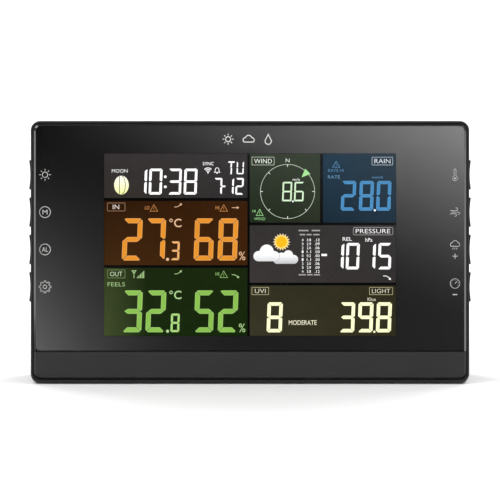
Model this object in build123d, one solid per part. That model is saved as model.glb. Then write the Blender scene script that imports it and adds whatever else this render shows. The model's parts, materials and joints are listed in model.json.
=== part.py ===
from build123d import *
import os
from math import acos, atan2, cos, degrees, hypot, radians, sin, tan

# Desk weather station console. All sizes are in millimetres.
#
# The pieces are modelled in the case's own frame: X to the right as a user sees the display, Y from
# the front lens (0) back to the rear cover, Z up the face from the case's front bottom edge (0).
# settle() then leans every piece back about X, so that the base lies flat on the table and the
# opened stand touches it, and puts the origin under the middle of the whole object's footprint.

# ---- Case ----
CASE_W = 192.5
CASE_H = 115.0
CASE_D = 21.0
CORNER_R = 4.1
WALL = 2.0
LEAN = 12.0                 # degrees that the face leans back from upright
SPLIT_Y = 8.0               # depth of the joint between bezel and rear cover
SPLIT_GAP = 0.1             # parting line
RIM = 0.85                  # rim beside and over the front panels
RIM_BOTTOM = 1.3            # rim under the chin panel
RIM_SET = 0.4               # how far the rim stands behind the lens front
RIM_SOFT = 0.25             # edge break on the rim
REAR_ROUND = 1.5            # rounding round the back of the rear cover
TONGUE = 1.5                # length of the rear cover's tongue inside the bezel
TONGUE_WALL = 0.9           # bezel wall left outside the tongue
FIT = 0.15                  # clearance between pieces that slot together
BASE_SPAN = 400.0           # larger than any case, for cutting blocks

# ---- Front panels ----
PANEL_GAP = 0.5             # between the panels and the rim beside and over them
CHIN_GAP = 1.1              # between the chin panel and the rim under it
PANEL_R = 3.0
PANEL_T = 1.8
PANEL_CHAMFER_IN = 0.85     # chamfer at the sides and the top, across the face
PANEL_CHAMFER_BACK = 0.6    # and into the edge
CHIN_H = 13.8               # case bottom to the seam between lens and chin
SEAM_GAP = 0.25             # between lens and chin
WINDOW_W = 128.3
WINDOW_H = 80.2
WINDOW_Z = 60.7             # window centre above the case bottom
WINDOW_R = 0.5
FILM_T = 0.15
FILM_INSET = 0.3
TAPE_T = 0.3
TAPE_W = 3.0
TAPE_INSET = 0.9
LEDGE_T = 1.7               # bezel plate that the panels and the display seat on
LEDGE_MARGIN = 1.0          # plate opening beyond the window

# ---- Display stack, from front to back ----
GLASS_T = 1.1
GLASS_MARGIN_X = 4.4        # glass beyond the window at each side
GLASS_MARGIN_Z = 3.9        # glass beyond the window over and under it
CONTACT_LEDGE = 4.0         # rear glass standing out under the front glass
COLOUR_FILM_T = 0.2
GUIDE_T = 3.0
GUIDE_MARGIN_X = 0.4
GUIDE_MARGIN_Z = 2.6
REFLECTOR_T = 0.2
LED_COUNT = 6
LED_PITCH = 13.0
LED_DEPTH = 1.2
LED_WIDTH = 2.4
LED_HEIGHT = 3.0
LED_GAP = 0.1
LED_STRIP_T = 0.6
LED_STRIP_W = 2.6
HOLDER_BACK_T = 0.8
HOLDER_WALL = 2.0
HOLDER_WINDOW_W = 104.0
HOLDER_WINDOW_H = 58.0
ZEBRA_W = 120.0
ZEBRA_H = 2.2
EAR_W = 6.0
EAR_H = 8.0
EAR_T = 2.0
EAR_LOW = 12.0              # lowest ear above the holder's bottom

# ---- Main board ----
BOARD_GAP = 0.25            # between the display holder's back and the board
BOARD_T = 1.6
BOARD_SIDE = 8.25           # case side to board edge
BOARD_Z0 = 12.2
BOARD_TOP_GAP = 13.5        # case top to board top
NOTCH_X = 8.0
NOTCH_Z = 4.0
BOARD_SCREW_R = 1.05
BOARD_SCREW_HEAD_R = 2.0
BOARD_SCREW_HEAD_T = 1.2
BOARD_SCREW_BEVEL = 0.4
BOARD_SCREW_HOLE_R = 1.4
BOARD_BOSS_R = 2.2
SCREW_SLIP = 0.05           # radial room round a screw in its boss

# ---- Case screws ----
CASE_SCREW_X = 10.25        # in from the case side
CASE_SCREW_Z_LOW = 9.5
CASE_SCREW_Z_HIGH = 8.5     # down from the case top
CASE_SCREW_R = 1.25
CASE_SCREW_HEAD_R = 2.6
CASE_SCREW_HEAD_T = 1.8
CASE_SCREW_SEAT = 4.0       # cover boss floor under the head
CASE_BOSS_R = 2.6
COVER_BOSS_R = 3.9
HEAD_WELL_R = 3.0

# ---- Side keys ----
KEY_COUNT = 4
KEY_H = 12.95
KEY_SPACE = 3.45            # between one key and the next
KEY_ROW_Z = 66.8            # middle of the row above the case bottom
KEY_Y = 13.0
KEY_DEPTH = 6.6             # size of a key front to back
KEY_PROUD = 0.8             # height of a key's ends over the case side
KEY_DISH = 0.5              # sag of the dished outer face
KEY_ROUND = 0.5
KEY_SLIP = 0.2
KEY_TRAVEL = 0.4
FLANGE_T = 1.0
FLANGE_LIP = 0.7
FLANGE_GAP = 0.15
KEY_STEM_L = 1.9
KEY_STEM_W = 4.0
SWITCH_H = 3.4              # switch body over the board
SWITCH_W = 6.0
SWITCH_L = 4.2
SWITCH_OVERHANG = 0.8
PLUNGER_R = 0.9
PLUNGER_SLIP = 0.2
PLUNGER_IN = 1.0            # plunger inside its switch at rest
PLUNGER_SPARE = 0.3         # hole in the switch beyond a fully pressed key's plunger

# ---- Rear stand ----
STAND_W = 60.0
STAND_T = 3.0
STAND_R = 3.0
STAND_L = 65.0              # pivot to the middle of the rounded tip
STAND_OFFSET = 0.7          # plate middle behind the pivot
STAND_FACE_GAP = 0.6        # folded plate under the rear face
PIVOT_Z = 70.0
PIVOT_R = 2.0
PIVOT_SLIP = 0.08
TRUNNION_L = 3.0
BARREL_R = 2.4
WELL_FLOOR_GAP = 0.4
WELL_SIDE_GAP = 0.5
WELL_TOP_GAP = 1.2
WELL_WALL = 1.6
CHEEK_W = 4.2
CHEEK_H = 9.0
STOP_GAP = 0.08             # heel to well floor when open
PAD_LENGTH = 52.0           # rubber strip along the stand's tip
PAD_SLEEVE = 4.0
PAD_TONGUE_T = 1.2
PAD_TONGUE_L = 2.4
STAND_HOLLOW_W = 44.0
STAND_HOLLOW_L = 40.0
STAND_HOLLOW_DEPTH = 1.2

# ---- Base pads ----
BASE_PAD_PROUD = 0.6
BASE_PAD_SUNK = 0.4
BASE_PAD_W = 14.0
BASE_PAD_FRONT_D = 3.6
BASE_PAD_REAR_D = 6.4
BASE_PAD_X = 20.0           # in from the case side
BASE_PAD_FRONT_Y = 4.5      # along the base from its front edge
BASE_PAD_REAR_Y = 14.6
PAD_FIT = 0.1               # a pad is this much smaller than its recess

# ---- Coin cell and its door ----
CELL_X = -58.0
CELL_Z = 36.0
CELL_R = 10.0
CELL_T = 3.2
CELL_FLOOR_T = 1.2
CELL_CONTACT_GAP = 0.5
THROAT_R = 10.9
DOOR_R = 11.6
DOOR_FLANGE_T = 1.0
DOOR_SET = 0.2              # door face under the rear face
DOOR_SLIP = 0.25
DOOR_NECK_SLIP = 0.3
LIP_T = 1.0
LUG_REACH = 1.5
LUG_T = 0.8
LUG_W = 5.0
LUG_TURN = 40.0             # degrees from locked to the entry notches
CUP_WALL = 1.4
COIN_SLOT_L = 13.0
COIN_SLOT_W = 1.8
COIN_SLOT_DEPTH = 0.7
CONTACT_T = 0.3
CONTACT_W = 4.0
CONTACT_X = 4.5

# ---- Rear buttons, slide switch and power inlet ----
BUTTON_X = 58.0
SENSOR_BUTTON_Z = 72.0
REFRESH_BUTTON_Z = 60.0
BUTTON_R = 2.5
BUTTON_PROUD = 0.6
BUTTON_ROUND = 0.4
BUTTON_SLIP = 0.2
BUTTON_FLANGE_R = 3.5
BUTTON_FLANGE_T = 0.8
BUTTON_TRAVEL = 0.5
BUTTON_STEM_R = 1.6
REAR_SWITCH_W = 6.0
DIMMER_Z = 46.0
DIMMER_TRAVEL = 2.0         # each way from the middle
DIMMER_BODY_L = 9.0
DIMMER_BODY_H = 3.8
DIMMER_STEM = 1.6
DIMMER_KNOB_L = 3.4
DIMMER_KNOB_H = 2.6
DIMMER_PROUD = 0.5
DIMMER_SLIP = 0.4
JACK_X = 62.0
JACK_Z = 22.0
JACK_W = 9.6
JACK_NOSE_R = 4.3
JACK_BORE_R = 2.8
JACK_BORE_L = 8.0
JACK_PIN_R = 1.0
JACK_SET = 0.3

# ---- Wall-hanging keyholes, vents and label ----
KEYHOLE_X = 50.0
KEYHOLE_TOP = 17.0          # case top down to the round hole's centre
KEYHOLE_R = 3.5
KEYHOLE_SLOT_R = 1.9
KEYHOLE_RISE = 6.0
KEYHOLE_DEPTH = 4.5
KEYHOLE_WALL = 1.2
KEYHOLE_ROOM = 0.6
VENT_L = 12.0
VENT_W = 1.4
VENT_PITCH = 3.2
VENT_R = 0.65
VENT_HIGH_COUNT = 5         # slots over the buzzer
VENT_LOW_COUNT = 4          # slots over the room sensor
VENT_LOW_X = -81.0
LABEL_X = -58.0
LABEL_Z = 64.0
LABEL_W = 40.0
LABEL_H = 16.0
LABEL_T = 0.15
LABEL_R = 1.0

# ---- Parts on the main board ----
BUZZER_X = -73.0
BUZZER_Z = 84.0
BUZZER_R = 6.0
BUZZER_H = 5.4
BUZZER_HOLE_R = 1.0
ROOM_SENSOR_X = -83.0
ROOM_SENSOR_Z = 24.0
ROOM_SENSOR_SIZE = 3.0
ROOM_SENSOR_T = 1.0
ROOM_PORT_R = 0.5
ROOM_PORT_DEPTH = 0.5
WIFI_X = 20.0
RADIO_X = -24.0
RADIO_BOARD_Z = 88.0
RADIO_BOARD_W = 22.0
RADIO_BOARD_H = 16.0
RADIO_BOARD_T = 0.8
SHIELD_EDGE = 2.0           # board left bare beside the shield
ANTENNA_END = 4.0           # board left bare at its printed antenna
SHIELD_H = 2.0
CRYSTAL_R = 1.5
CRYSTAL_H = 8.0
ANTENNA_R = 0.4
ANTENNA_FOOT_TOP = 4.0      # wire's foot under the receiver board's top edge
ANTENNA_FOOT_SIDE = 2.0     # and in from its side edge
ANTENNA_RISE = 14.0
ANTENNA_RUN = 58.0
ANTENNA_BEND = 4.5
CHIP_T = 1.2
CHIPS = [(0.0, 52.0, 14.0), (19.0, 34.0, 12.0), (-18.0, 36.0, 7.0)]  # x, z, side

# ---- Worked out from the sizes above ----
PANEL_W = CASE_W - 2 * (RIM + PANEL_GAP)
PANEL_Z0 = RIM_BOTTOM + CHIN_GAP
PANEL_Z1 = CASE_H - RIM - PANEL_GAP
PANEL_H = PANEL_Z1 - PANEL_Z0
PANEL_Z = (PANEL_Z0 + PANEL_Z1) / 2
POCKET_W = PANEL_W + 2 * PANEL_GAP
POCKET_H = CASE_H - RIM - RIM_BOTTOM
POCKET_Z = RIM_BOTTOM + POCKET_H / 2
FILM_Y = PANEL_T
TAPE_Y = FILM_Y + FILM_T
LEDGE_Y = TAPE_Y + TAPE_T
GLASS_Y = LEDGE_Y + LEDGE_T
REAR_GLASS_Y = GLASS_Y + GLASS_T
COLOUR_Y = REAR_GLASS_Y + GLASS_T
GUIDE_Y = COLOUR_Y + COLOUR_FILM_T
REFLECTOR_Y = GUIDE_Y + GUIDE_T
HOLDER_BACK_Y = REFLECTOR_Y + REFLECTOR_T
BOARD_Y = HOLDER_BACK_Y + HOLDER_BACK_T + BOARD_GAP
BOARD_BACK = BOARD_Y + BOARD_T

GLASS_W = WINDOW_W + 2 * GLASS_MARGIN_X
GLASS_Z0 = WINDOW_Z - WINDOW_H / 2 - GLASS_MARGIN_Z
GLASS_Z1 = WINDOW_Z + WINDOW_H / 2 + GLASS_MARGIN_Z
GUIDE_W = WINDOW_W + 2 * GUIDE_MARGIN_X
GUIDE_H = WINDOW_H + 2 * GUIDE_MARGIN_Z
HOLDER_W = GLASS_W + 2 * (FIT + HOLDER_WALL)
HOLDER_Z0 = GLASS_Z0 - CONTACT_LEDGE - FIT - HOLDER_WALL
HOLDER_Z1 = GLASS_Z1 + FIT + HOLDER_WALL
EAR_X = HOLDER_W / 2 + EAR_W / 2
EAR_FRONT = BOARD_Y - EAR_T
EAR_ROWS = [HOLDER_Z0 + EAR_LOW, WINDOW_Z, HOLDER_Z1 - EAR_H]
BOARD_SCREWS = [(side * EAR_X, z) for side in (-1, 1) for z in EAR_ROWS]

BOARD_HALF = CASE_W / 2 - BOARD_SIDE
BOARD_Z1 = CASE_H - BOARD_TOP_GAP
COVER_INNER = CASE_D - WALL
CASE_SCREWS = [
    (side * (CASE_W / 2 - CASE_SCREW_X), z)
    for side in (-1, 1)
    for z in (CASE_SCREW_Z_LOW, CASE_H - CASE_SCREW_Z_HIGH)
]
HEAD_SEAT_Y = SPLIT_Y + SPLIT_GAP + CASE_SCREW_SEAT

KEY_PITCH = KEY_H + KEY_SPACE
PLUNGER_WELL = PLUNGER_IN + KEY_TRAVEL + PLUNGER_SPARE
KEY_ROWS = [KEY_ROW_Z + KEY_PITCH * ((KEY_COUNT - 1) / 2 - index) for index in range(KEY_COUNT)]
KEY_OUT = CASE_W / 2 + KEY_PROUD
FLANGE_OUT = CASE_W / 2 - WALL - FLANGE_GAP
STEM_END = FLANGE_OUT - FLANGE_T - KEY_STEM_L
SWITCH_AXIS_Y = BOARD_BACK + SWITCH_H / 2
SWITCH_OUT = BOARD_HALF + SWITCH_OVERHANG

PIVOT_Y = CASE_D - STAND_FACE_GAP - STAND_T / 2 - STAND_OFFSET
WELL_FLOOR_Y = PIVOT_Y - BARREL_R - WELL_FLOOR_GAP
WELL_W = STAND_W + 2 * WELL_SIDE_GAP
TIP_R = STAND_T / 2
PIVOT_UP = PIVOT_Z * cos(radians(LEAN)) - PIVOT_Y * sin(radians(LEAN)) + BASE_PAD_PROUD
TIP_REACH = hypot(STAND_L, STAND_OFFSET)
STAND_LEAN = degrees(acos((PIVOT_UP - TIP_R) / TIP_REACH) - atan2(STAND_OFFSET, STAND_L))
STAND_OPEN = LEAN + STAND_LEAN          # degrees between the folded and the opened stand
PLATE_FRONT = STAND_OFFSET - STAND_T / 2    # plate's inner face from the pivot
HEEL_ROOM = PIVOT_Y - WELL_FLOOR_Y - STOP_GAP
HEEL_L = (HEEL_ROOM + PLATE_FRONT * cos(radians(STAND_OPEN))) / sin(radians(STAND_OPEN))
WELL_TOP_Z = PIVOT_Z + HEEL_L + WELL_TOP_GAP

DOOR_FACE_Y = CASE_D - DOOR_SET
DOOR_SEAT_Y = DOOR_FACE_Y - DOOR_FLANGE_T
LIP_Y = DOOR_SEAT_Y - LIP_T
NECK_R = THROAT_R - DOOR_NECK_SLIP
LUG_R = NECK_R + LUG_REACH
GROOVE_R = LUG_R + 2 * FIT
GROOVE_Y = LIP_Y - LUG_T - 2 * FIT
CELL_BACK_Y = GROOVE_Y
CELL_FRONT_Y = CELL_BACK_Y - CELL_T
CUP_FLOOR_Y = CELL_FRONT_Y - CELL_CONTACT_GAP
CUP_R = GROOVE_R + CUP_WALL

BUTTON_SWITCH_BACK = BOARD_BACK + SWITCH_H
BUTTON_FLANGE_BACK = COVER_INNER - FLANGE_GAP
BUTTON_STEM_FRONT = BUTTON_SWITCH_BACK + 2 * BUTTON_TRAVEL
KEYHOLE_Z = CASE_H - KEYHOLE_TOP

FACE = Plane(origin=(0, 0, 0), x_dir=(1, 0, 0), z_dir=(0, 1, 0))


# ---- Shapes that the sub-parts share ----
def slab(width, height, front, back, x=0.0, z=0.0, radius=0.0):
    """An upright plate centred on x and z, between two depths, with rounded corners."""
    outline = RectangleRounded(width, height, radius) if radius else Rectangle(width, height)
    return Pos(x, front, z) * extrude(FACE * outline, back - front)


def block(x0, x1, y0, y1, z0, z1):
    """A box between two corners."""
    middle = Pos((x0 + x1) / 2, (y0 + y1) / 2, (z0 + z1) / 2)
    return middle * Box(x1 - x0, y1 - y0, z1 - z0)


def rod(radius, front, back, x, z):
    """A cylinder whose axis runs front to back."""
    return Pos(x, (front + back) / 2, z) * Rot(90, 0, 0) * Cylinder(radius, back - front)


def bar(radius, x0, x1, y, z):
    """A cylinder whose axis runs across the case."""
    return Pos((x0 + x1) / 2, y, z) * Rot(0, 90, 0) * Cylinder(radius, abs(x1 - x0))


def under_base(lift):
    """Everything under the slanting base, or under a plane that far above it."""
    return Rot(LEAN, 0, 0) * Pos(0, 0, lift - BASE_SPAN / 2) * Box(BASE_SPAN, BASE_SPAN, BASE_SPAN)


def case_block(inset, front, back):
    """The case's outer form shrunk by inset all round, between two depths."""
    radius = max(CORNER_R - inset, WINDOW_R)
    full = slab(CASE_W - 2 * inset, CASE_H - 2 * inset, front, back, z=CASE_H / 2, radius=radius)
    return full - under_base(inset)


def base_pad_blocks(shrink=0.0):
    """The four pads under the base, in the case's frame."""
    pads = []
    places = ((BASE_PAD_FRONT_Y, BASE_PAD_FRONT_D), (BASE_PAD_REAR_Y, BASE_PAD_REAR_D))
    for side in (-1, 1):
        for y, depth in places:
            height = BASE_PAD_PROUD + BASE_PAD_SUNK
            middle = (BASE_PAD_SUNK - BASE_PAD_PROUD) / 2
            pad = Box(BASE_PAD_W - shrink, depth - shrink, height)
            pads.append(Rot(LEAN, 0, 0) * Pos(side * (CASE_W / 2 - BASE_PAD_X), y, middle) * pad)
    return pads


# ---- Front of the case ----
def front_panels():
    """Lens and chin together, chamfered at the sides and the top, before they are parted."""
    below = CASE_H / 2
    sheet = slab(PANEL_W, PANEL_H + below, 0, PANEL_T, z=PANEL_Z - below / 2, radius=PANEL_R)
    face = sheet.faces().sort_by(Axis.Y)[0]
    sheet = chamfer(face.edges(), PANEL_CHAMFER_IN, PANEL_CHAMFER_BACK, reference=face)
    above = slab(PANEL_W, PANEL_H + below, 0, PANEL_T, z=PANEL_Z + below / 2, radius=PANEL_R)
    return sheet & above


def front_lens():
    """Clear glossy front over the display."""
    seam = CHIN_H + SEAM_GAP / 2
    half = PANEL_W / 2 + WALL
    return front_panels() - block(-half, half, -WALL, PANEL_T + WALL, -WALL, seam)


def chin_panel():
    """Matte textured strip under the lens."""
    seam = CHIN_H - SEAM_GAP / 2
    half = PANEL_W / 2 + WALL
    return front_panels() - block(-half, half, -WALL, PANEL_T + WALL, seam, CASE_H)


def lens_mask():
    """Black printed film on the back of the lens, with the display window."""
    z0 = CHIN_H + SEAM_GAP / 2 + FILM_INSET
    z1 = PANEL_Z1 - FILM_INSET
    radius = PANEL_R - FILM_INSET
    film = slab(PANEL_W - 2 * FILM_INSET, z1 - z0, FILM_Y, TAPE_Y, z=(z0 + z1) / 2, radius=radius)
    return film - slab(WINDOW_W, WINDOW_H, FILM_Y, TAPE_Y, z=WINDOW_Z, radius=WINDOW_R)


def panel_tape():
    """Adhesive ring behind the lens and adhesive strip behind the chin."""
    z0 = CHIN_H + TAPE_INSET
    z1 = PANEL_Z1 - TAPE_INSET
    width = PANEL_W - 2 * TAPE_INSET
    ring = slab(width, z1 - z0, TAPE_Y, LEDGE_Y, z=(z0 + z1) / 2, radius=WINDOW_R)
    ring -= slab(width - 2 * TAPE_W, z1 - z0 - 2 * TAPE_W, TAPE_Y, LEDGE_Y, z=(z0 + z1) / 2)
    strip_z = (PANEL_Z0 + CHIN_H) / 2
    strip = slab(width - 2 * TAPE_W, TAPE_W, PANEL_T, LEDGE_Y, z=strip_z)
    return [ring, strip]


def front_bezel():
    """Front half of the case: rim, seat for the panels, display opening and screw bosses."""
    shell = slab(CASE_W, CASE_H, RIM_SET, SPLIT_Y, z=CASE_H / 2, radius=CORNER_R)
    shell = chamfer(shell.faces().sort_by(Axis.Y)[0].edges(), RIM_SOFT)
    shell -= under_base(0)
    shell -= slab(POCKET_W, POCKET_H, -WALL, LEDGE_Y, z=POCKET_Z, radius=PANEL_R + PANEL_GAP)
    shell -= case_block(WALL, GLASS_Y, SPLIT_Y + WALL)
    shell -= case_block(TONGUE_WALL, SPLIT_Y - TONGUE - SPLIT_GAP, SPLIT_Y + WALL)
    opening_w = WINDOW_W + 2 * LEDGE_MARGIN
    opening_h = WINDOW_H + 2 * LEDGE_MARGIN
    shell -= slab(opening_w, opening_h, 0, GLASS_Y + WALL, z=WINDOW_Z, radius=WINDOW_R)
    for x, z in CASE_SCREWS:
        shell += rod(CASE_BOSS_R, GLASS_Y, SPLIT_Y, x, z)
        shell -= rod(CASE_SCREW_R + SCREW_SLIP, GLASS_Y, SPLIT_Y + WALL, x, z)
    for x, z in BOARD_SCREWS:
        shell += rod(BOARD_BOSS_R, GLASS_Y, EAR_FRONT, x, z)
        shell -= rod(BOARD_SCREW_R + SCREW_SLIP, GLASS_Y, EAR_FRONT + WALL, x, z)
    for pad in base_pad_blocks():
        shell -= pad
    return shell


# ---- Display stack ----
def lcd_front_glass():
    """Front plate of the liquid crystal cell."""
    height = GLASS_Z1 - GLASS_Z0
    return slab(GLASS_W, height, GLASS_Y, REAR_GLASS_Y, z=(GLASS_Z0 + GLASS_Z1) / 2)


def lcd_rear_glass():
    """Rear plate, standing out below for its contacts."""
    z0 = GLASS_Z0 - CONTACT_LEDGE
    return slab(GLASS_W, GLASS_Z1 - z0, REAR_GLASS_Y, COLOUR_Y, z=(z0 + GLASS_Z1) / 2)


def colour_film():
    """Printed film that gives each field of the display its colour."""
    return slab(GUIDE_W, GUIDE_H, COLOUR_Y, GUIDE_Y, z=WINDOW_Z)


def light_guide():
    """Clear plate that spreads the backlight."""
    return slab(GUIDE_W, GUIDE_H, GUIDE_Y, REFLECTOR_Y, z=WINDOW_Z)


def reflector_sheet():
    """White sheet behind the light guide."""
    return slab(GUIDE_W, GUIDE_H, REFLECTOR_Y, HOLDER_BACK_Y, z=WINDOW_Z)


def led_strips():
    """A row of light-emitting diodes on a narrow board at each side of the light guide."""
    middle_y = (GUIDE_Y + REFLECTOR_Y) / 2
    strips = []
    for side in (-1, 1):
        inner = GUIDE_W / 2 + LED_GAP
        x = side * (inner + LED_DEPTH + LED_STRIP_T / 2)
        strip = Pos(x, middle_y, WINDOW_Z) * Box(LED_STRIP_T, LED_STRIP_W, GUIDE_H)
        for index in range(LED_COUNT):
            z = WINDOW_Z + LED_PITCH * (index - (LED_COUNT - 1) / 2)
            led = Box(LED_DEPTH, LED_WIDTH, LED_HEIGHT)
            strip += Pos(side * (inner + LED_DEPTH / 2), middle_y, z) * led
        strips.append(strip)
    return strips


def lcd_holder():
    """Tray that holds the display stack against the bezel, with ears for the board screws."""
    middle = (HOLDER_Z0 + HOLDER_Z1) / 2
    tray = slab(HOLDER_W, HOLDER_Z1 - HOLDER_Z0, GLASS_Y, BOARD_Y - BOARD_GAP, z=middle)
    glass_z0 = GLASS_Z0 - CONTACT_LEDGE - FIT
    glass_z1 = GLASS_Z1 + FIT
    glass_z = (glass_z0 + glass_z1) / 2
    tray -= slab(GLASS_W + 2 * FIT, glass_z1 - glass_z0, GLASS_Y, GUIDE_Y, z=glass_z)
    guide_half = GUIDE_W / 2 + LED_GAP + LED_DEPTH + LED_STRIP_T + FIT
    tray -= slab(2 * guide_half, GUIDE_H + 2 * FIT, GLASS_Y, HOLDER_BACK_Y, z=WINDOW_Z)
    tray -= slab(HOLDER_WINDOW_W, HOLDER_WINDOW_H, GLASS_Y, BOARD_BACK, z=WINDOW_Z)
    zebra_z = GLASS_Z0 - CONTACT_LEDGE / 2
    tray -= slab(ZEBRA_W + 2 * FIT, ZEBRA_H + 2 * FIT, GLASS_Y, BOARD_BACK, z=zebra_z)
    for x, z in BOARD_SCREWS:
        side = 1 if x > 0 else -1
        overlap = HOLDER_WALL
        ear = slab(EAR_W + overlap, EAR_H, EAR_FRONT, BOARD_Y, x=x - side * overlap / 2, z=z)
        tray += ear - rod(BOARD_SCREW_HOLE_R, EAR_FRONT, BOARD_Y, x, z)
    return tray


def zebra_strip():
    """Elastomer strip that joins the glass contacts to the main board."""
    return slab(ZEBRA_W, ZEBRA_H, COLOUR_Y, BOARD_Y, z=GLASS_Z0 - CONTACT_LEDGE / 2)


# ---- Main board and what is soldered to it ----
def main_board():
    """Circuit board behind the display, notched round the lower case screws."""
    height = BOARD_Z1 - BOARD_Z0
    board = slab(2 * BOARD_HALF, height, BOARD_Y, BOARD_BACK, z=(BOARD_Z0 + BOARD_Z1) / 2)
    for side in (-1, 1):
        inner = side * (BOARD_HALF - NOTCH_X)
        outer = side * (BOARD_HALF + WALL)
        x0, x1 = min(inner, outer), max(inner, outer)
        board -= block(x0, x1, BOARD_Y - WALL, BOARD_BACK + WALL, 0, BOARD_Z0 + NOTCH_Z)
    for x, z in BOARD_SCREWS:
        board -= rod(BOARD_SCREW_HOLE_R, BOARD_Y, BOARD_BACK, x, z)
    return board


def board_screws():
    """Screws through board and display holder into the bezel."""
    screws = []
    for x, z in BOARD_SCREWS:
        shank = rod(BOARD_SCREW_R, GLASS_Y + FIT, BOARD_BACK, x, z)
        head = rod(BOARD_SCREW_HEAD_R, BOARD_BACK, BOARD_BACK + BOARD_SCREW_HEAD_T, x, z)
        head = chamfer(head.edges().sort_by(Axis.Y)[-1:], BOARD_SCREW_BEVEL)
        screws.append(shank + head)
    return screws


def processor_chips():
    """Controller, display driver and memory."""
    return [
        slab(side, side, BOARD_BACK, BOARD_BACK + CHIP_T, x=x, z=z) for x, z, side in CHIPS
    ]


def wifi_module():
    """Small radio board with its metal shield."""
    back = BOARD_BACK + RADIO_BOARD_T
    card = slab(RADIO_BOARD_W, RADIO_BOARD_H, BOARD_BACK, back, x=WIFI_X, z=RADIO_BOARD_Z)
    shield_w = RADIO_BOARD_W - SHIELD_EDGE - ANTENNA_END
    shield_h = RADIO_BOARD_H - SHIELD_EDGE
    shield_x = WIFI_X + (ANTENNA_END - SHIELD_EDGE) / 2
    shield = slab(shield_w, shield_h, back, back + SHIELD_H, x=shield_x, z=RADIO_BOARD_Z)
    return [card, shield]


def radio_receiver():
    """Receiver board for the outdoor sensor, with its crystal can."""
    back = BOARD_BACK + RADIO_BOARD_T
    card = slab(RADIO_BOARD_W, RADIO_BOARD_H, BOARD_BACK, back, x=RADIO_X, z=RADIO_BOARD_Z)
    half = CRYSTAL_H / 2
    can = bar(CRYSTAL_R, RADIO_X - half, RADIO_X + half, back + CRYSTAL_R, RADIO_BOARD_Z)
    return [card, can]


def antenna_wire():
    """Stiff wire from the receiver up and along the top of the case."""
    y = BOARD_BACK + RADIO_BOARD_T + ANTENNA_R
    foot_z = RADIO_BOARD_Z + RADIO_BOARD_H / 2 - ANTENNA_FOOT_TOP
    top_z = foot_z + ANTENNA_RISE
    x = RADIO_X - RADIO_BOARD_W / 2 + ANTENNA_FOOT_SIDE
    route = FilletPolyline((x, y, foot_z), (x, y, top_z), (x + ANTENNA_RUN, y, top_z), radius=ANTENNA_BEND)
    section = Plane(origin=(x, y, foot_z), z_dir=(0, 0, 1)) * Circle(ANTENNA_R)
    return sweep(section, path=route)


def buzzer():
    """Round alarm sounder with its sound hole."""
    can = rod(BUZZER_R, BOARD_BACK, BOARD_BACK + BUZZER_H, BUZZER_X, BUZZER_Z)
    back = BOARD_BACK + BUZZER_H
    return can - rod(BUZZER_HOLE_R, back - BUZZER_HOLE_R, back, BUZZER_X, BUZZER_Z)


def room_sensor():
    """Temperature and humidity sensor behind the lower vents, with its open port."""
    back = BOARD_BACK + ROOM_SENSOR_T
    size = ROOM_SENSOR_SIZE
    body = slab(size, size, BOARD_BACK, back, x=ROOM_SENSOR_X, z=ROOM_SENSOR_Z)
    port = rod(ROOM_PORT_R, back - ROOM_PORT_DEPTH, back, ROOM_SENSOR_X, ROOM_SENSOR_Z)
    return body - port


def side_switches(side):
    """Push switches along one edge of the board, one behind each key."""
    x0, x1 = sorted((side * SWITCH_OUT, side * (SWITCH_OUT - SWITCH_L)))
    hole_x0 = SWITCH_OUT - PLUNGER_WELL
    switches = []
    for z in KEY_ROWS:
        z0 = z - SWITCH_W / 2
        body = block(x0, x1, BOARD_BACK, BOARD_BACK + SWITCH_H, z0, z0 + SWITCH_W)
        hole_r = PLUNGER_R + PLUNGER_SLIP
        switches.append(body - bar(hole_r, side * hole_x0, side * (SWITCH_OUT + WALL), SWITCH_AXIS_Y, z))
    return switches


def side_plunger(side, z):
    """Moving pin of one side switch, against the key's stem."""
    return bar(PLUNGER_R, side * (SWITCH_OUT - PLUNGER_IN), side * STEM_END, SWITCH_AXIS_Y, z)


def side_key(side, z):
    """One key: dished cap, retaining flange and stem."""
    y0 = KEY_Y - KEY_DEPTH / 2
    y1 = KEY_Y + KEY_DEPTH / 2
    half = KEY_H / 2
    cap = block(FLANGE_OUT - FLANGE_T, KEY_OUT, y0, y1, -half, half)
    cap = fillet(cap.faces().sort_by(Axis.X)[-1].edges(), KEY_ROUND)
    chord = KEY_H - 2 * KEY_ROUND
    dish_r = chord ** 2 / (8 * KEY_DISH) + KEY_DISH / 2
    dish_x = KEY_OUT - KEY_DISH + dish_r
    cap -= Pos(dish_x, KEY_Y, 0) * Rot(90, 0, 0) * Cylinder(dish_r, KEY_DEPTH + WALL)
    lip = FLANGE_LIP
    cap += block(FLANGE_OUT - FLANGE_T, FLANGE_OUT, y0 - lip, y1 + lip, -half - lip, half + lip)
    stem = KEY_STEM_W / 2
    stem_y0 = SWITCH_AXIS_Y - stem
    stem_x1 = FLANGE_OUT - FLANGE_T
    cap += block(STEM_END, stem_x1, stem_y0, stem_y0 + KEY_STEM_W, -stem, stem)
    if side < 0:
        cap = mirror(cap, about=Plane.YZ)
    return Pos(0, 0, z) * cap


def rear_switch(z):
    """Body of a push switch that faces the back."""
    body = slab(REAR_SWITCH_W, REAR_SWITCH_W, BOARD_BACK, BUTTON_SWITCH_BACK, x=BUTTON_X, z=z)
    hole_front = BUTTON_SWITCH_BACK - PLUNGER_WELL
    return body - rod(PLUNGER_R + PLUNGER_SLIP, hole_front, BUTTON_SWITCH_BACK, BUTTON_X, z)


def rear_switches():
    """The two push switches behind the rear buttons."""
    return [rear_switch(SENSOR_BUTTON_Z), rear_switch(REFRESH_BUTTON_Z)]


def rear_plunger(z):
    """Moving pin of a rear switch, against the button's stem."""
    return rod(PLUNGER_R, BUTTON_SWITCH_BACK - PLUNGER_IN, BUTTON_STEM_FRONT, BUTTON_X, z)


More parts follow.
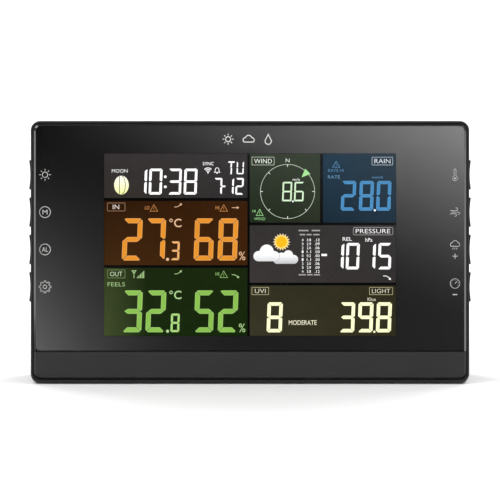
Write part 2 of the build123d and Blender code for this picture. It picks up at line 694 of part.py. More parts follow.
def rear_button(z):
    """Small round button with a flange that keeps it in the cover."""
    flange_front = BUTTON_FLANGE_BACK - BUTTON_FLANGE_T
    cap = rod(BUTTON_R, flange_front, CASE_D + BUTTON_PROUD, BUTTON_X, z)
    cap = fillet(cap.edges().sort_by(Axis.Y)[-1:], BUTTON_ROUND)
    cap += rod(BUTTON_FLANGE_R, flange_front, BUTTON_FLANGE_BACK, BUTTON_X, z)
    return cap + rod(BUTTON_STEM_R, BUTTON_STEM_FRONT, flange_front, BUTTON_X, z)


def slide_switch():
    """Body of the three-position slide switch."""
    back = BOARD_BACK + SWITCH_H
    body = slab(DIMMER_BODY_L, DIMMER_BODY_H, BOARD_BACK, back, x=BUTTON_X, z=DIMMER_Z)
    slot_l = DIMMER_STEM + 2 * (DIMMER_TRAVEL + DIMMER_SLIP)
    slot_h = DIMMER_STEM + 2 * FIT
    return body - slab(slot_l, slot_h, back - PLUNGER_WELL, back, x=BUTTON_X, z=DIMMER_Z)


def dimmer_knob():
    """Slide switch knob: stem in the switch, ribbed thumb piece through the cover."""
    back = BOARD_BACK + SWITCH_H
    stem = slab(DIMMER_STEM, DIMMER_STEM, back - PLUNGER_IN, COVER_INNER, x=BUTTON_X, z=DIMMER_Z)
    knob_back = CASE_D + DIMMER_PROUD
    knob = slab(DIMMER_KNOB_L, DIMMER_KNOB_H, COVER_INNER, knob_back, x=BUTTON_X, z=DIMMER_Z)
    groove = DIMMER_PROUD / 2
    for offset in (-DIMMER_KNOB_L / 4, 0, DIMMER_KNOB_L / 4):
        cut = slab(groove, DIMMER_KNOB_H, knob_back - groove, knob_back, x=BUTTON_X + offset, z=DIMMER_Z)
        knob -= cut
    return stem + knob


def dc_jack():
    """Barrel power inlet: block on the board, round nose in the cover, centre pin."""
    back = CASE_D - JACK_SET
    shoulder = COVER_INNER - FIT
    body = slab(JACK_W, JACK_W, BOARD_BACK, shoulder, x=JACK_X, z=JACK_Z)
    body += rod(JACK_NOSE_R, shoulder, back, JACK_X, JACK_Z)
    floor = back - JACK_BORE_L
    body -= rod(JACK_BORE_R, floor, back, JACK_X, JACK_Z)
    return body + rod(JACK_PIN_R, floor, back - JACK_PIN_R, JACK_X, JACK_Z)


# ---- Coin cell ----
def coin_cell():
    """Backup button cell."""
    return rod(CELL_R, CELL_FRONT_Y, CELL_BACK_Y - FIT, CELL_X, CELL_Z)


def cell_contacts():
    """Two spring strips from the board, through the cup floor, to the cell."""
    contacts = []
    for side in (-1, 1):
        x = CELL_X + side * CONTACT_X
        leaf = slab(CONTACT_W, CELL_R, CELL_FRONT_Y - CONTACT_T, CELL_FRONT_Y, x=x, z=CELL_Z)
        foot_z = CELL_Z - CELL_R / 2 + CONTACT_T / 2
        leg = slab(CONTACT_W, CONTACT_T, BOARD_BACK, CELL_FRONT_Y, x=x, z=foot_z)
        contacts.append(leaf + leg)
    return contacts


def door_lugs(front, back, radius, width, turn):
    """Two bars across the door's neck, as lugs or as the notches that let them in."""
    cross = Box(2 * radius, back - front, width) & (Rot(90, 0, 0) * Cylinder(radius, back - front))
    return Pos(CELL_X, (front + back) / 2, CELL_Z) * Rot(0, turn, 0) * cross


def battery_door():
    """Round door with a coin slot, held by two lugs under the cover's lip."""
    door = rod(DOOR_R, DOOR_SEAT_Y, DOOR_FACE_Y, CELL_X, CELL_Z)
    door = chamfer(door.edges().sort_by(Axis.Y)[-1:], RIM_SOFT)
    neck_front = CELL_BACK_Y + FIT
    door += rod(NECK_R, neck_front, DOOR_SEAT_Y, CELL_X, CELL_Z)
    lug_back = LIP_Y - FIT
    door += door_lugs(lug_back - LUG_T, lug_back, LUG_R, LUG_W, 0)
    slot_front = DOOR_FACE_Y - COIN_SLOT_DEPTH
    return door - slab(COIN_SLOT_L, COIN_SLOT_W, slot_front, CASE_D, x=CELL_X, z=CELL_Z)


# ---- Rear of the case ----
def stand_well_walls():
    """Walls of the hollow that takes the folded stand, with cheeks for its pivot."""
    half = WELL_W / 2 + WELL_WALL
    top = WELL_TOP_Z + WELL_WALL
    walls = block(-half, half, WELL_FLOOR_Y - WELL_WALL, COVER_INNER + FIT, 0, top)
    cheek = WELL_W / 2 + CHEEK_W
    z0 = PIVOT_Z - CHEEK_H / 2
    cheeks = block(-cheek, cheek, WELL_FLOOR_Y, COVER_INNER + FIT, z0, z0 + CHEEK_H)
    return (walls + cheeks) & case_block(0, SPLIT_Y + SPLIT_GAP, CASE_D)


def stand_well_space():
    """The hollow itself and the two bores for the stand's trunnions."""
    half = WELL_W / 2
    well = block(-half, half, WELL_FLOOR_Y, CASE_D + WALL, -WALL, WELL_TOP_Z)
    bore = half + TRUNNION_L - WELL_SIDE_GAP + FIT
    return well + bar(PIVOT_R + PIVOT_SLIP, -bore, bore, PIVOT_Y, PIVOT_Z)


def cell_cup():
    """Cup for the coin cell, open to the back."""
    return rod(CUP_R, CUP_FLOOR_Y - CELL_FLOOR_T, COVER_INNER + FIT, CELL_X, CELL_Z)


def cell_cup_space():
    """Throat, lug groove, door seat, entry notches and slits for the contacts."""
    space = rod(THROAT_R, CUP_FLOOR_Y, CASE_D, CELL_X, CELL_Z)
    space += rod(GROOVE_R, GROOVE_Y, LIP_Y, CELL_X, CELL_Z)
    space += rod(DOOR_R + DOOR_SLIP, DOOR_SEAT_Y - FIT, CASE_D + WALL, CELL_X, CELL_Z)
    notch_r = LUG_R + FIT
    notch_w = LUG_W + 4 * FIT
    notches = door_lugs(LIP_Y - FIT, DOOR_SEAT_Y, notch_r, notch_w, LUG_TURN)
    slits = []
    for side in (-1, 1):
        z = CELL_Z - CELL_R / 2 + CONTACT_T / 2
        x = CELL_X + side * CONTACT_X
        width = CONTACT_W + 2 * FIT
        slits.append(slab(width, CONTACT_T + 2 * FIT, CUP_FLOOR_Y - WALL, CELL_FRONT_Y, x=x, z=z))
    return space + notches + slits[0] + slits[1]


def keyhole_cup(x):
    """Pocket behind a keyhole, so that a wall screw can't reach the board."""
    room = KEYHOLE_R + KEYHOLE_ROOM + KEYHOLE_WALL
    front = COVER_INNER - KEYHOLE_DEPTH - KEYHOLE_WALL
    height = 2 * room + KEYHOLE_RISE
    z = KEYHOLE_Z + KEYHOLE_RISE / 2
    return slab(2 * room, height, front, COVER_INNER + FIT, x=x, z=z, radius=KEYHOLE_R)


def keyhole_space(x):
    """Round entry, narrow slot above it and the room behind them."""
    room = KEYHOLE_R + KEYHOLE_ROOM
    z = KEYHOLE_Z + KEYHOLE_RISE / 2
    height = 2 * room + KEYHOLE_RISE
    front = COVER_INNER - KEYHOLE_DEPTH
    space = slab(2 * room, height, front, COVER_INNER, x=x, z=z, radius=KEYHOLE_R - KEYHOLE_ROOM)
    space += rod(KEYHOLE_R, COVER_INNER, CASE_D + WALL, x, KEYHOLE_Z)
    space += rod(KEYHOLE_SLOT_R, COVER_INNER, CASE_D + WALL, x, KEYHOLE_Z + KEYHOLE_RISE)
    return space + slab(2 * KEYHOLE_SLOT_R, KEYHOLE_RISE, COVER_INNER, CASE_D + WALL, x=x, z=z)


def vents(x, z, count):
    """A stack of vent slots through the cover's back."""
    slots = []
    for index in range(count):
        slot_z = z + VENT_PITCH * (index - (count - 1) / 2)
        slots.append(slab(VENT_L, VENT_W, COVER_INNER - FIT, CASE_D + WALL, x=x, z=slot_z, radius=VENT_R))
    return slots


def key_slot(side, z):
    """Opening in a side wall for one key."""
    x0, x1 = sorted((side * (CASE_W / 2 - WALL - FIT), side * (CASE_W / 2 + WALL)))
    half = KEY_H / 2 + KEY_SLIP
    y0 = KEY_Y - KEY_DEPTH / 2 - KEY_SLIP
    y1 = KEY_Y + KEY_DEPTH / 2 + KEY_SLIP
    return block(x0, x1, y0, y1, z - half, z + half)


def rear_cover():
    """Rear half of the case with everything moulded into it."""
    front = SPLIT_Y + SPLIT_GAP
    cover = slab(CASE_W, CASE_H, front, CASE_D, z=CASE_H / 2, radius=CORNER_R)
    cover = fillet(cover.faces().sort_by(Axis.Y)[-1].edges(), REAR_ROUND)
    cover -= under_base(0)
    cavity = case_block(WALL, front - WALL, COVER_INNER)
    cover -= cavity
    tongue = case_block(TONGUE_WALL + FIT, SPLIT_Y - TONGUE, front + WALL)
    cover += tongue - case_block(WALL, SPLIT_Y - TONGUE - WALL, front + 2 * WALL)
    cover += stand_well_walls()
    cover += cell_cup()
    for x in (-KEYHOLE_X, KEYHOLE_X):
        cover += keyhole_cup(x)
    for x, z in CASE_SCREWS:
        boss = rod(COVER_BOSS_R, front, COVER_INNER + FIT, x, z)
        cover += boss & case_block(0, front, CASE_D)
    cover -= stand_well_space()
    cover -= cell_cup_space()
    for x in (-KEYHOLE_X, KEYHOLE_X):
        cover -= keyhole_space(x)
    for x, z in CASE_SCREWS:
        cover -= rod(CASE_SCREW_R + FIT, front - WALL, CASE_D, x, z)
        cover -= rod(HEAD_WELL_R, HEAD_SEAT_Y, CASE_D + WALL, x, z)
    for side in (-1, 1):
        for z in KEY_ROWS:
            cover -= key_slot(side, z)
    for z in (SENSOR_BUTTON_Z, REFRESH_BUTTON_Z):
        cover -= rod(BUTTON_R + BUTTON_SLIP, COVER_INNER - WALL, CASE_D + WALL, BUTTON_X, z)
    slot_l = DIMMER_KNOB_L + 2 * (DIMMER_TRAVEL + DIMMER_SLIP)
    slot_h = DIMMER_KNOB_H + 2 * DIMMER_SLIP
    cover -= slab(slot_l, slot_h, COVER_INNER - WALL, CASE_D + WALL, x=BUTTON_X, z=DIMMER_Z)
    cover -= rod(JACK_NOSE_R + FIT, COVER_INNER - WALL, CASE_D + WALL, JACK_X, JACK_Z)
    for slot in vents(BUZZER_X, BUZZER_Z, VENT_HIGH_COUNT):
        cover -= slot
    for slot in vents(VENT_LOW_X, ROOM_SENSOR_Z, VENT_LOW_COUNT):
        cover -= slot
    cover -= slab(LABEL_W + FIT, LABEL_H + FIT, CASE_D - LABEL_T, CASE_D + WALL, x=LABEL_X, z=LABEL_Z)
    for pad in base_pad_blocks():
        cover -= pad
    return cover


def case_screws():
    """Screws from the back through the cover's bosses into the bezel."""
    screws = []
    for x, z in CASE_SCREWS:
        shank = rod(CASE_SCREW_R, GLASS_Y + FIT, HEAD_SEAT_Y, x, z)
        head = rod(CASE_SCREW_HEAD_R, HEAD_SEAT_Y, HEAD_SEAT_Y + CASE_SCREW_HEAD_T, x, z)
        back = HEAD_SEAT_Y + CASE_SCREW_HEAD_T
        drive = CASE_SCREW_R
        slot_front = back - CASE_SCREW_HEAD_T / 2
        cross = slab(2 * drive, drive / 2, slot_front, back, x=x, z=z)
        cross += slab(drive / 2, 2 * drive, slot_front, back, x=x, z=z)
        screws.append(shank + (head - cross))
    return screws


def rating_label():
    """Blank sticker in its shallow recess."""
    front = CASE_D - LABEL_T
    return slab(LABEL_W, LABEL_H, front, CASE_D, x=LABEL_X, z=LABEL_Z, radius=LABEL_R)


# ---- Stand ----
def opened(piece):
    """Turn a piece of the folded stand about the pivot to its opened place."""
    pivot = Pos(0, PIVOT_Y, PIVOT_Z)
    return pivot * Rot(STAND_OPEN, 0, 0) * pivot.inverse() * piece


def stand_tip_z():
    """Height of the folded tip's rounding."""
    return PIVOT_Z - STAND_L


def stand():
    """Fold-out leg: plate, heel that stops it, barrel and two trunnions."""
    front = PIVOT_Y + PLATE_FRONT
    back = front + STAND_T
    low = stand_tip_z() + PAD_SLEEVE
    high = PIVOT_Z + HEEL_L
    plate = slab(STAND_W, high - low, front, back, z=(low + high) / 2)
    corners = plate.edges().filter_by(Axis.Y).group_by(Axis.Z)[0]
    plate = fillet(corners, STAND_R)
    hollow_z = (low + PIVOT_Z) / 2 - BARREL_R
    hollow_back = front + STAND_HOLLOW_DEPTH
    plate -= slab(STAND_HOLLOW_W, STAND_HOLLOW_L, front, hollow_back, z=hollow_z, radius=STAND_R)
    tongue_half = PAD_TONGUE_T / 2
    middle = PIVOT_Y + STAND_OFFSET
    tongue_w = PAD_LENGTH / 2 - STAND_R
    plate += block(
        -tongue_w, tongue_w, middle - tongue_half, middle + tongue_half, low - PAD_TONGUE_L, low + FIT
    )
    plate += bar(BARREL_R, -STAND_W / 2, STAND_W / 2, PIVOT_Y, PIVOT_Z)
    trunnion = STAND_W / 2 + TRUNNION_L
    return opened(plate + bar(PIVOT_R, -trunnion, trunnion, PIVOT_Y, PIVOT_Z))


def stand_pad():
    """Rubber strip on the stand's tip, with a slot for the plate's tongue."""
    middle = PIVOT_Y + STAND_OFFSET
    tip = stand_tip_z()
    high = tip + PAD_SLEEVE
    half = PAD_LENGTH / 2
    strip = block(-half, half, middle - TIP_R, middle + TIP_R, tip, high)
    strip += bar(TIP_R, -half, half, middle, tip)
    tongue_half = PAD_TONGUE_T / 2
    tongue_w = half - STAND_R
    slot = block(
        -tongue_w, tongue_w, middle - tongue_half, middle + tongue_half, high - PAD_TONGUE_L, high
    )
    return opened(strip - slot)


# ---- Putting it together ----
LEFT_KEYS = ["brightness", "memory", "alarm", "settings"]
RIGHT_KEYS = ["temperature", "wind", "rain_plus", "pressure_minus"]


def fixed_pieces():
    """Every piece that belongs to the case."""
    return {
        "front_bezel": front_bezel(),
        "front_lens": front_lens(),
        "lens_mask": lens_mask(),
        "panel_tape": panel_tape(),
        "chin_panel": chin_panel(),
        "lcd_front_glass": lcd_front_glass(),
        "lcd_rear_glass": lcd_rear_glass(),
        "colour_film": colour_film(),
        "light_guide": light_guide(),
        "reflector_sheet": reflector_sheet(),
        "led_strips": led_strips(),
        "lcd_holder": lcd_holder(),
        "zebra_strip": zebra_strip(),
        "main_board": main_board(),
        "board_screws": board_screws(),
        "processor_chips": processor_chips(),
        "wifi_module": wifi_module(),
        "radio_receiver": radio_receiver(),
        "antenna_wire": antenna_wire(),
        "buzzer": buzzer(),
        "room_sensor": room_sensor(),
        "side_switches_left": side_switches(-1),
        "side_switches_right": side_switches(1),
        "rear_switches": rear_switches(),
        "slide_switch": slide_switch(),
        "dc_jack": dc_jack(),
        "coin_cell": coin_cell(),
        "cell_contacts": cell_contacts(),
        "rear_cover": rear_cover(),
        "case_screws": case_screws(),
        "rating_label": rating_label(),
        "base_pads": base_pad_blocks(PAD_FIT),
    }


def moving_pieces():
    """Every piece on a joint."""
    pieces = {
        "stand": stand(),
        "stand_pad": stand_pad(),
        "battery_door": battery_door(),
        "sensor_button": rear_button(SENSOR_BUTTON_Z),
        "sensor_plunger": rear_plunger(SENSOR_BUTTON_Z),
        "refresh_button": rear_button(REFRESH_BUTTON_Z),
        "refresh_plunger": rear_plunger(REFRESH_BUTTON_Z),
        "dimmer_knob": dimmer_knob(),
    }
    for side, names in ((-1, LEFT_KEYS), (1, RIGHT_KEYS)):
        for name, z in zip(names, KEY_ROWS):
            pieces["key_" + name] = side_key(side, z)
            pieces["plunger_" + name] = side_plunger(side, z)
    return pieces


def solids_of(piece):
    """One shape for a node, whether it is one solid or a group."""
    if not isinstance(piece, list):
        piece = [piece]
    return Compound([solid for shape in piece for solid in shape.solids()])


def settle(pieces):
    """Lean the case back onto its base and centre its footprint on the origin."""
    stood = {name: Pos(0, 0, BASE_PAD_PROUD) * Rot(-LEAN, 0, 0) * shape for name, shape in pieces.items()}
    box = Compound(list(stood.values())).bounding_box()
    shift = Pos(-(box.min.X + box.max.X) / 2, -(box.min.Y + box.max.Y) / 2, -box.min.Z)
    return {name: shift * shape for name, shape in stood.items()}, shift


pieces = {name: solids_of(piece) for name, piece in (fixed_pieces() | moving_pieces()).items()}
settled, origin_shift = settle(pieces)
os.makedirs("parts", exist_ok=True)
for name, shape in settled.items():
    export_step(shape, "parts/" + name + ".step")
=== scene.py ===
import bpy
import bmesh
from math import cos, hypot, pi, radians, sin, sqrt, tan
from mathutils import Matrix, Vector
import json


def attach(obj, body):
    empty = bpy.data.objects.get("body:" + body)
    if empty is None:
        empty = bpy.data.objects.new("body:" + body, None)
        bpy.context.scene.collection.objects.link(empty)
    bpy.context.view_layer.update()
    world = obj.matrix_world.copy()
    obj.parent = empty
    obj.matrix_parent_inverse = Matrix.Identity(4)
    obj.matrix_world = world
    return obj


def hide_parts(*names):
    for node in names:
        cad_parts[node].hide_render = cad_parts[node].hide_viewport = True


# Desk weather station: the visual model and its studio. Blender works in metres. The display, the
# printed symbols and the marks are drawn in millimetres in the case's own frame: x to the right,
# depth from the front of the lens backwards, up along the leaning face from the case's bottom edge.

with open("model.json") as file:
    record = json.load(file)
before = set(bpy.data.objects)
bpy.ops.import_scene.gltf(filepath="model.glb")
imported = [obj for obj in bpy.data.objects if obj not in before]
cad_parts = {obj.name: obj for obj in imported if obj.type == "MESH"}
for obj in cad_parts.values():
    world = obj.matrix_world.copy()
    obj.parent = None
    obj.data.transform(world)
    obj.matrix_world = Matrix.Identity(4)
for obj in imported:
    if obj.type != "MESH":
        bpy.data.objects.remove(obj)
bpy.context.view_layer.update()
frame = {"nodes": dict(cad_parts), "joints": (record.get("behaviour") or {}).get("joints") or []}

MM = 0.001
CASE_W = 192.5
CASE_H = 115.0
RIGHT = Vector((1, 0, 0))


# ---- The case's own frame ----
def joint(name):
    return next(j for j in frame["joints"] if j["name"] == name)


BACK = Vector(joint("battery_door_turn")["axis"]).normalized()
UP = Vector((0, -BACK.z, BACK.y))


def span(node, direction):
    """Lowest and highest reach of a CAD node along a direction, in millimetres."""
    reach = [v.co.dot(direction) / MM for v in frame["nodes"][node].data.vertices]
    return min(reach), max(reach)


LENS_FRONT = span("front_lens", BACK)[0]
CASE_BOTTOM = span("front_bezel", UP)[1] - CASE_H


def place(x, depth, up):
    """A point of the case's own frame, in millimetres, as a scene point in metres."""
    return (RIGHT * x + BACK * (depth + LENS_FRONT) + UP * (up + CASE_BOTTOM)) * MM


def depths(node):
    low, high = span(node, BACK)
    return low - LENS_FRONT, high - LENS_FRONT


def middle(node):
    """The middle of a CAD node as (x, depth, up) in millimetres."""
    x, back, up = (sum(span(node, way)) / 2 for way in (RIGHT, BACK, UP))
    return x, back - LENS_FRONT, up - CASE_BOTTOM


# ---- Colours and node trees ----
def ink(code):
    """A linear colour from its web code."""
    parts = [int(code[i:i + 2], 16) / 255 for i in (1, 3, 5)]
    return tuple(p / 12.92 if p <= 0.04045 else ((p + 0.055) / 1.055) ** 2.4 for p in parts)


def scaled(colour, factor):
    return tuple(min(c * factor, 1.0) for c in colour[:3])


def add_node(tree, kind, inputs=None, **settings):
    made = tree.nodes.new("ShaderNode" + kind)
    for key, value in settings.items():
        setattr(made, key, value)
    for key, value in (inputs or {}).items():
        if isinstance(value, bpy.types.NodeSocket):
            tree.links.new(value, made.inputs[key])
        else:
            made.inputs[key].default_value = value
    return made


def mix(tree, factor, first, second):
    """A colour between two colours; each may be a plain colour or a socket."""
    made = add_node(tree, "Mix", {0: factor}, data_type="RGBA")
    for index, colour in ((6, first), (7, second)):
        if isinstance(colour, bpy.types.NodeSocket):
            tree.links.new(colour, made.inputs[index])
        else:
            made.inputs[index].default_value = (*colour[:3], 1)
    return made.outputs[2]


def math(tree, operation, first, second=0.0, clamp=False):
    made = add_node(tree, "Math", {0: first, 1: second}, operation=operation, use_clamp=clamp)
    return made.outputs[0]


def spread(tree, value, low, high, to_low=0.0, to_high=1.0, smooth=False):
    """Maps low..high onto to_low..to_high, and holds the ends."""
    inputs = {"Value": value, "From Min": low, "From Max": high, "To Min": to_low, "To Max": to_high}
    kind = "SMOOTHSTEP" if smooth else "LINEAR"
    return add_node(tree, "MapRange", inputs, interpolation_type=kind).outputs[0]


def along(tree, coordinates, direction):
    inputs = {0: coordinates, 1: tuple(direction)}
    return add_node(tree, "VectorMath", inputs, operation="DOT_PRODUCT").outputs["Value"]


def noise(tree, coordinates, size, detail=3.0, roughness=0.5, stretch=None):
    """Noise whose features are about size millimetres across."""
    if stretch:
        inputs = {"Vector": coordinates, "Scale": stretch}
        coordinates = add_node(tree, "Mapping", inputs).outputs[0]
    inputs = {"Vector": coordinates, "Scale": 1 / (size * MM), "Detail": detail, "Roughness": roughness}
    return add_node(tree, "TexNoise", inputs).outputs[0]


def material(name, **values):
    """A Principled material with plain values on its sockets, its node tree and its shader."""
    made = bpy.data.materials.new(name)
    made.use_nodes = True
    shader = made.node_tree.nodes["Principled BSDF"]
    for key, value in values.items():
        socket = shader.inputs[key.replace("_", " ")]
        socket.default_value = (*value, 1) if isinstance(value, tuple) else value
    return made, made.node_tree, shader


def link(tree, value, socket):
    tree.links.new(value, socket)


def surface(name, colour, roughness, drift=0.12, uneven=0.05, grain=0.4, height=0.01, pits=False, **values):
    """A moulded or coated surface: colour and gloss that drift slowly, and a fine grain in relief.

    grain is the size of the grain and height its relief, both in millimetres."""
    made, tree, shader = material(name, **values)
    at = add_node(tree, "TexCoord").outputs["Object"]
    slow = noise(tree, at, 22.0, 2.0)
    fine = noise(tree, at, grain, 2.0)
    blend = math(tree, "ADD", math(tree, "MULTIPLY", slow, 0.6), math(tree, "MULTIPLY", fine, 0.4))
    blend = spread(tree, blend, 0.3, 0.7)
    tone = mix(tree, blend, scaled(colour, 1 - drift), scaled(colour, 1 + drift))
    link(tree, tone, shader.inputs["Base Color"])
    worn = noise(tree, at, 7.0, 4.0, 0.6)
    gloss = spread(tree, worn, 0.25, 0.75, roughness - uneven, roughness + uneven)
    link(tree, gloss, shader.inputs["Roughness"])
    relief = fine
    if pits:
        cells = add_node(tree, "TexVoronoi", {"Vector": at, "Scale": 1 / (grain * MM)})
        relief = math(tree, "MULTIPLY", cells.outputs["Distance"], fine)
    bump = add_node(tree, "Bump", {"Height": relief, "Distance": height * MM, "Strength": 1.0})
    link(tree, bump.outputs[0], shader.inputs["Normal"])
    return made


METAL_STREAK = (1, 1, 12)       # how much finer the streaks are along each axis


def metal(name, colour, roughness):
    """Plated or rolled metal with fine drawn streaks."""
    made, tree, shader = material(name, Metallic=1.0)
    at = add_node(tree, "TexCoord").outputs["Object"]
    streaks = noise(tree, at, 0.5, 4.0, 0.6, stretch=METAL_STREAK)
    tone = mix(tree, spread(tree, streaks, 0.3, 0.7), scaled(colour, 0.85), scaled(colour, 1.1))
    link(tree, tone, shader.inputs["Base Color"])
    gloss = spread(tree, streaks, 0.3, 0.7, roughness - 0.06, roughness + 0.06)
    link(tree, gloss, shader.inputs["Roughness"])
    bump = add_node(tree, "Bump", {"Height": streaks, "Distance": 0.004 * MM, "Strength": 1.0})
    link(tree, bump.outputs[0], shader.inputs["Normal"])
    return made


def board_surface(name):
    """Solder mask over copper traces that run in two directions."""
    made, tree, shader = material(name, IOR=1.5)
    at = add_node(tree, "TexCoord").outputs["Object"]
    bricks = {"Vector": at, "Scale": 1 / (3.0 * MM), "Mortar Size": 0.06, "Color1": (*ink("#0f4a2a"), 1),
              "Color2": (*ink("#0c3f24"), 1), "Mortar": (*ink("#2b7a48"), 1)}
    traces = add_node(tree, "TexBrick", bricks)
    slow = noise(tree, at, 14.0)
    tone = mix(tree, spread(tree, slow, 0.3, 0.7, 0.0, 0.35), traces.outputs["Color"], ink("#0a3a20"))
    link(tree, tone, shader.inputs["Base Color"])
    link(tree, spread(tree, noise(tree, at, 2.0), 0.3, 0.7, 0.28, 0.42), shader.inputs["Roughness"])
    bump = add_node(tree, "Bump", {"Height": traces.outputs["Fac"], "Distance": 0.02 * MM, "Strength": 1.0})
    link(tree, bump.outputs[0], shader.inputs["Normal"])
    return made


def clear(name, tint, alpha, ior, roughness):
    """Clear plastic: almost all alpha. What lies right behind it carries its gloss."""
    made, tree, shader = material(name, Alpha=alpha, IOR=ior, Specular_IOR_Level=0.0)
    at = add_node(tree, "TexCoord").outputs["Object"]
    haze = noise(tree, at, 30.0, 3.0)
    link(tree, mix(tree, haze, scaled(tint, 0.8), tint), shader.inputs["Base Color"])
    gloss = spread(tree, haze, 0.3, 0.7, roughness * 0.7, roughness * 1.3)
    link(tree, gloss, shader.inputs["Roughness"])
    return made


LENS_ALPHA = 0.02
LENS_PASS = (1 - LENS_ALPHA) ** 2        # light through both faces of the lens
SCREEN = {"Roughness": 0.04, "Specular_IOR_Level": 0.106}     # gloss of the display behind the lens


def glow(name, colour, far=None, way=UP, start=0.0, end=1.0):
    """A lit display colour, from colour to far along a direction, as even as a backlight is."""
    body = scaled(colour, 0.2)
    made, tree, shader = material(name, Base_Color=body, **SCREEN)
    at = add_node(tree, "TexCoord").outputs["Object"]
    step = spread(tree, along(tree, at, way), start, end)
    tone = mix(tree, step, colour, far or colour)
    patch = spread(tree, noise(tree, at, 9.0, 2.0), 0.3, 0.7, 0.95, 1.05)
    lit = add_node(tree, "VectorMath", {0: tone, "Scale": patch}, operation="SCALE").outputs[0]
    link(tree, lit, shader.inputs["Emission Color"])
    shader.inputs["Emission Strength"].default_value = 1 / LENS_PASS
    return made


def tile_glow(name, corners, u0, u1, v0, v1, fade):
    """A tile's own background: four corner colours; the left ones reach over a share fade of it."""
    made, tree, shader = material(name, Base_Color=(0.002, 0.002, 0.002), **SCREEN)
    at = add_node(tree, "TexCoord").outputs["Object"]
    left = place(window_x(u0), 0, window_up(v0))
    top = left.dot(UP)
    low = place(0, 0, window_up(v1)).dot(UP)
    across = spread(tree, along(tree, at, RIGHT), left.x, window_x(u0 + (u1 - u0) * fade) * MM)
    down = spread(tree, along(tree, at, UP), top, low)
    upper = mix(tree, across, ink(corners[0]), ink(corners[1]))
    lower = mix(tree, across, ink(corners[2]), ink(corners[3]))
    tone = mix(tree, down, upper, lower)
    patch = spread(tree, noise(tree, at, 6.0, 3.0), 0.3, 0.7, 0.93, 1.07)
    lit = add_node(tree, "VectorMath", {0: tone, "Scale": patch}, operation="SCALE").outputs[0]
    link(tree, lit, shader.inputs["Emission Color"])
    shader.inputs["Emission Strength"].default_value = 1 / LENS_PASS
    return made


# ---- Drawing kit: thin solids in the case's own frame ----
def side_points(points, half, closed):
    """The points half a width to either side of a path, mitred at its corners."""
    first, second = [], []
    count = len(points)
    for i, (x, z) in enumerate(points):
        ways = []
        if closed or i:
            px, pz = points[i - 1]
            ways.append((x - px, z - pz))
        if closed or i < count - 1:
            nx, nz = points[(i + 1) % count]
            ways.append((nx - x, nz - z))
        ways = [(a / hypot(a, b), b / hypot(a, b)) for a, b in ways]
        ax = -sum(b for a, b in ways)
        az = sum(a for a, b in ways)
        size = hypot(ax, az)
        ax, az = ax / size, az / size
        reach = half / max(-ax * ways[0][1] + az * ways[0][0], 0.4)
        first.append((x + ax * reach, z + az * reach))
        second.append((x - ax * reach, z - az * reach))
    return first, second


def circle(x, z, radius, count=32, squash=1.0):
    """The points of a circle, or of an ellipse squash times as high as it is wide."""
    turns = [2 * pi * i / count for i in range(count)]
    return [(x + radius * cos(t), z + radius * squash * sin(t)) for t in turns]


def arc(x, z, radius, start, end, count=12):
    turns = [radians(start + (end - start) * i / count) for i in range(count + 1)]
    return [(x + radius * cos(t), z + radius * sin(t)) for t in turns]


def rounded(x0, x1, z0, z1, radius, count=5):
    """The points of a rectangle with round corners."""
    corners = [(x1 - radius, z1 - radius, 0), (x0 + radius, z1 - radius, 90),
               (x0 + radius, z0 + radius, 180), (x1 - radius, z0 + radius, 270)]
    return [p for x, z, turn in corners for p in arc(x, z, radius, turn, turn + 90, count)]


class Piece:
    """A visual piece made of thin solids, drawn in the case's own frame."""

    def __init__(self, name, body, depth, thick):
        self.name, self.body = name, body
        self.depth, self.thick = depth, thick
        self.points, self.faces, self.looks, self.materials = [], [], [], []

    def look(self, material_used):
        if material_used not in self.materials:
            self.materials.append(material_used)
        return self.materials.index(material_used)

    def add(self, points, faces, material_used):
        base = len(self.points)
        self.points += points
        self.faces += [[base + i for i in face] for face in faces]
        self.looks += [self.look(material_used)] * len(faces)

    def levels(self, lift):
        return self.depth - lift, self.depth - lift + self.thick

    def fill(self, outline, material_used, lift=0.0):
        """A flat solid with this outline; lift brings it nearer to the viewer."""
        near, far = self.levels(lift)
        count = len(outline)
        points = [place(x, near, z) for x, z in outline] + [place(x, far, z) for x, z in outline]
        faces = [list(range(count)), [count + i for i in range(count)][::-1]]
        faces += [[i, count + i, count + (i + 1) % count, (i + 1) % count] for i in range(count)]
        self.add(points, faces, material_used)

    def stroke(self, path, width, material_used, closed=False, lift=0.0):
        """A line of even width along a path."""
        near, far = self.levels(lift)
        first, second = side_points(path, width / 2, closed)
        count = len(path)
        rows = [(first, near), (second, near), (second, far), (first, far)]
        points = [place(x, depth, z) for side, depth in rows for x, z in side]
        faces = []
        for i in range(count if closed else count - 1):
            j = (i + 1) % count
            for row in range(4):
                after = (row + 1) % 4
                faces.append([row * count + i, row * count + j, after * count + j, after * count + i])
        if not closed:
            for i in (0, count - 1):
                faces.append([row * count + i for row in range(4)])
        self.add(points, faces, material_used)

    def text(self, words, x0, x1, z0, z1, material_used, weight=0.0):
        """Lettering that just fills a rectangle."""
        points, faces = letters(words, weight)
        near, far = self.levels(0.0)
        low = [min(p[i] for p in points) for i in (0, 1)]
        high = [max(p[i] for p in points) for i in (0, 1)]
        placed = []
        for x, z, deep in points:
            px = x0 + (x - low[0]) / (high[0] - low[0]) * (x1 - x0)
            pz = z0 + (z - low[1]) / (high[1] - low[1]) * (z1 - z0)
            placed.append(place(px, near if deep > 0 else far, pz))
        self.add(placed, faces, material_used)

    def make(self):
        mesh = bpy.data.meshes.new(self.name)
        mesh.from_pydata(self.points, [], self.faces)
        for made in self.materials:
            mesh.materials.append(made)
        mesh.polygons.foreach_set("material_index", self.looks)
        shape = bmesh.new()
        shape.from_mesh(mesh)
        bmesh.ops.recalc_face_normals(shape, faces=shape.faces)
        shape.to_mesh(mesh)
        shape.free()
        made = bpy.data.objects.new(self.name, mesh)
        bpy.context.scene.collection.objects.link(made)
        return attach(made, self.body)


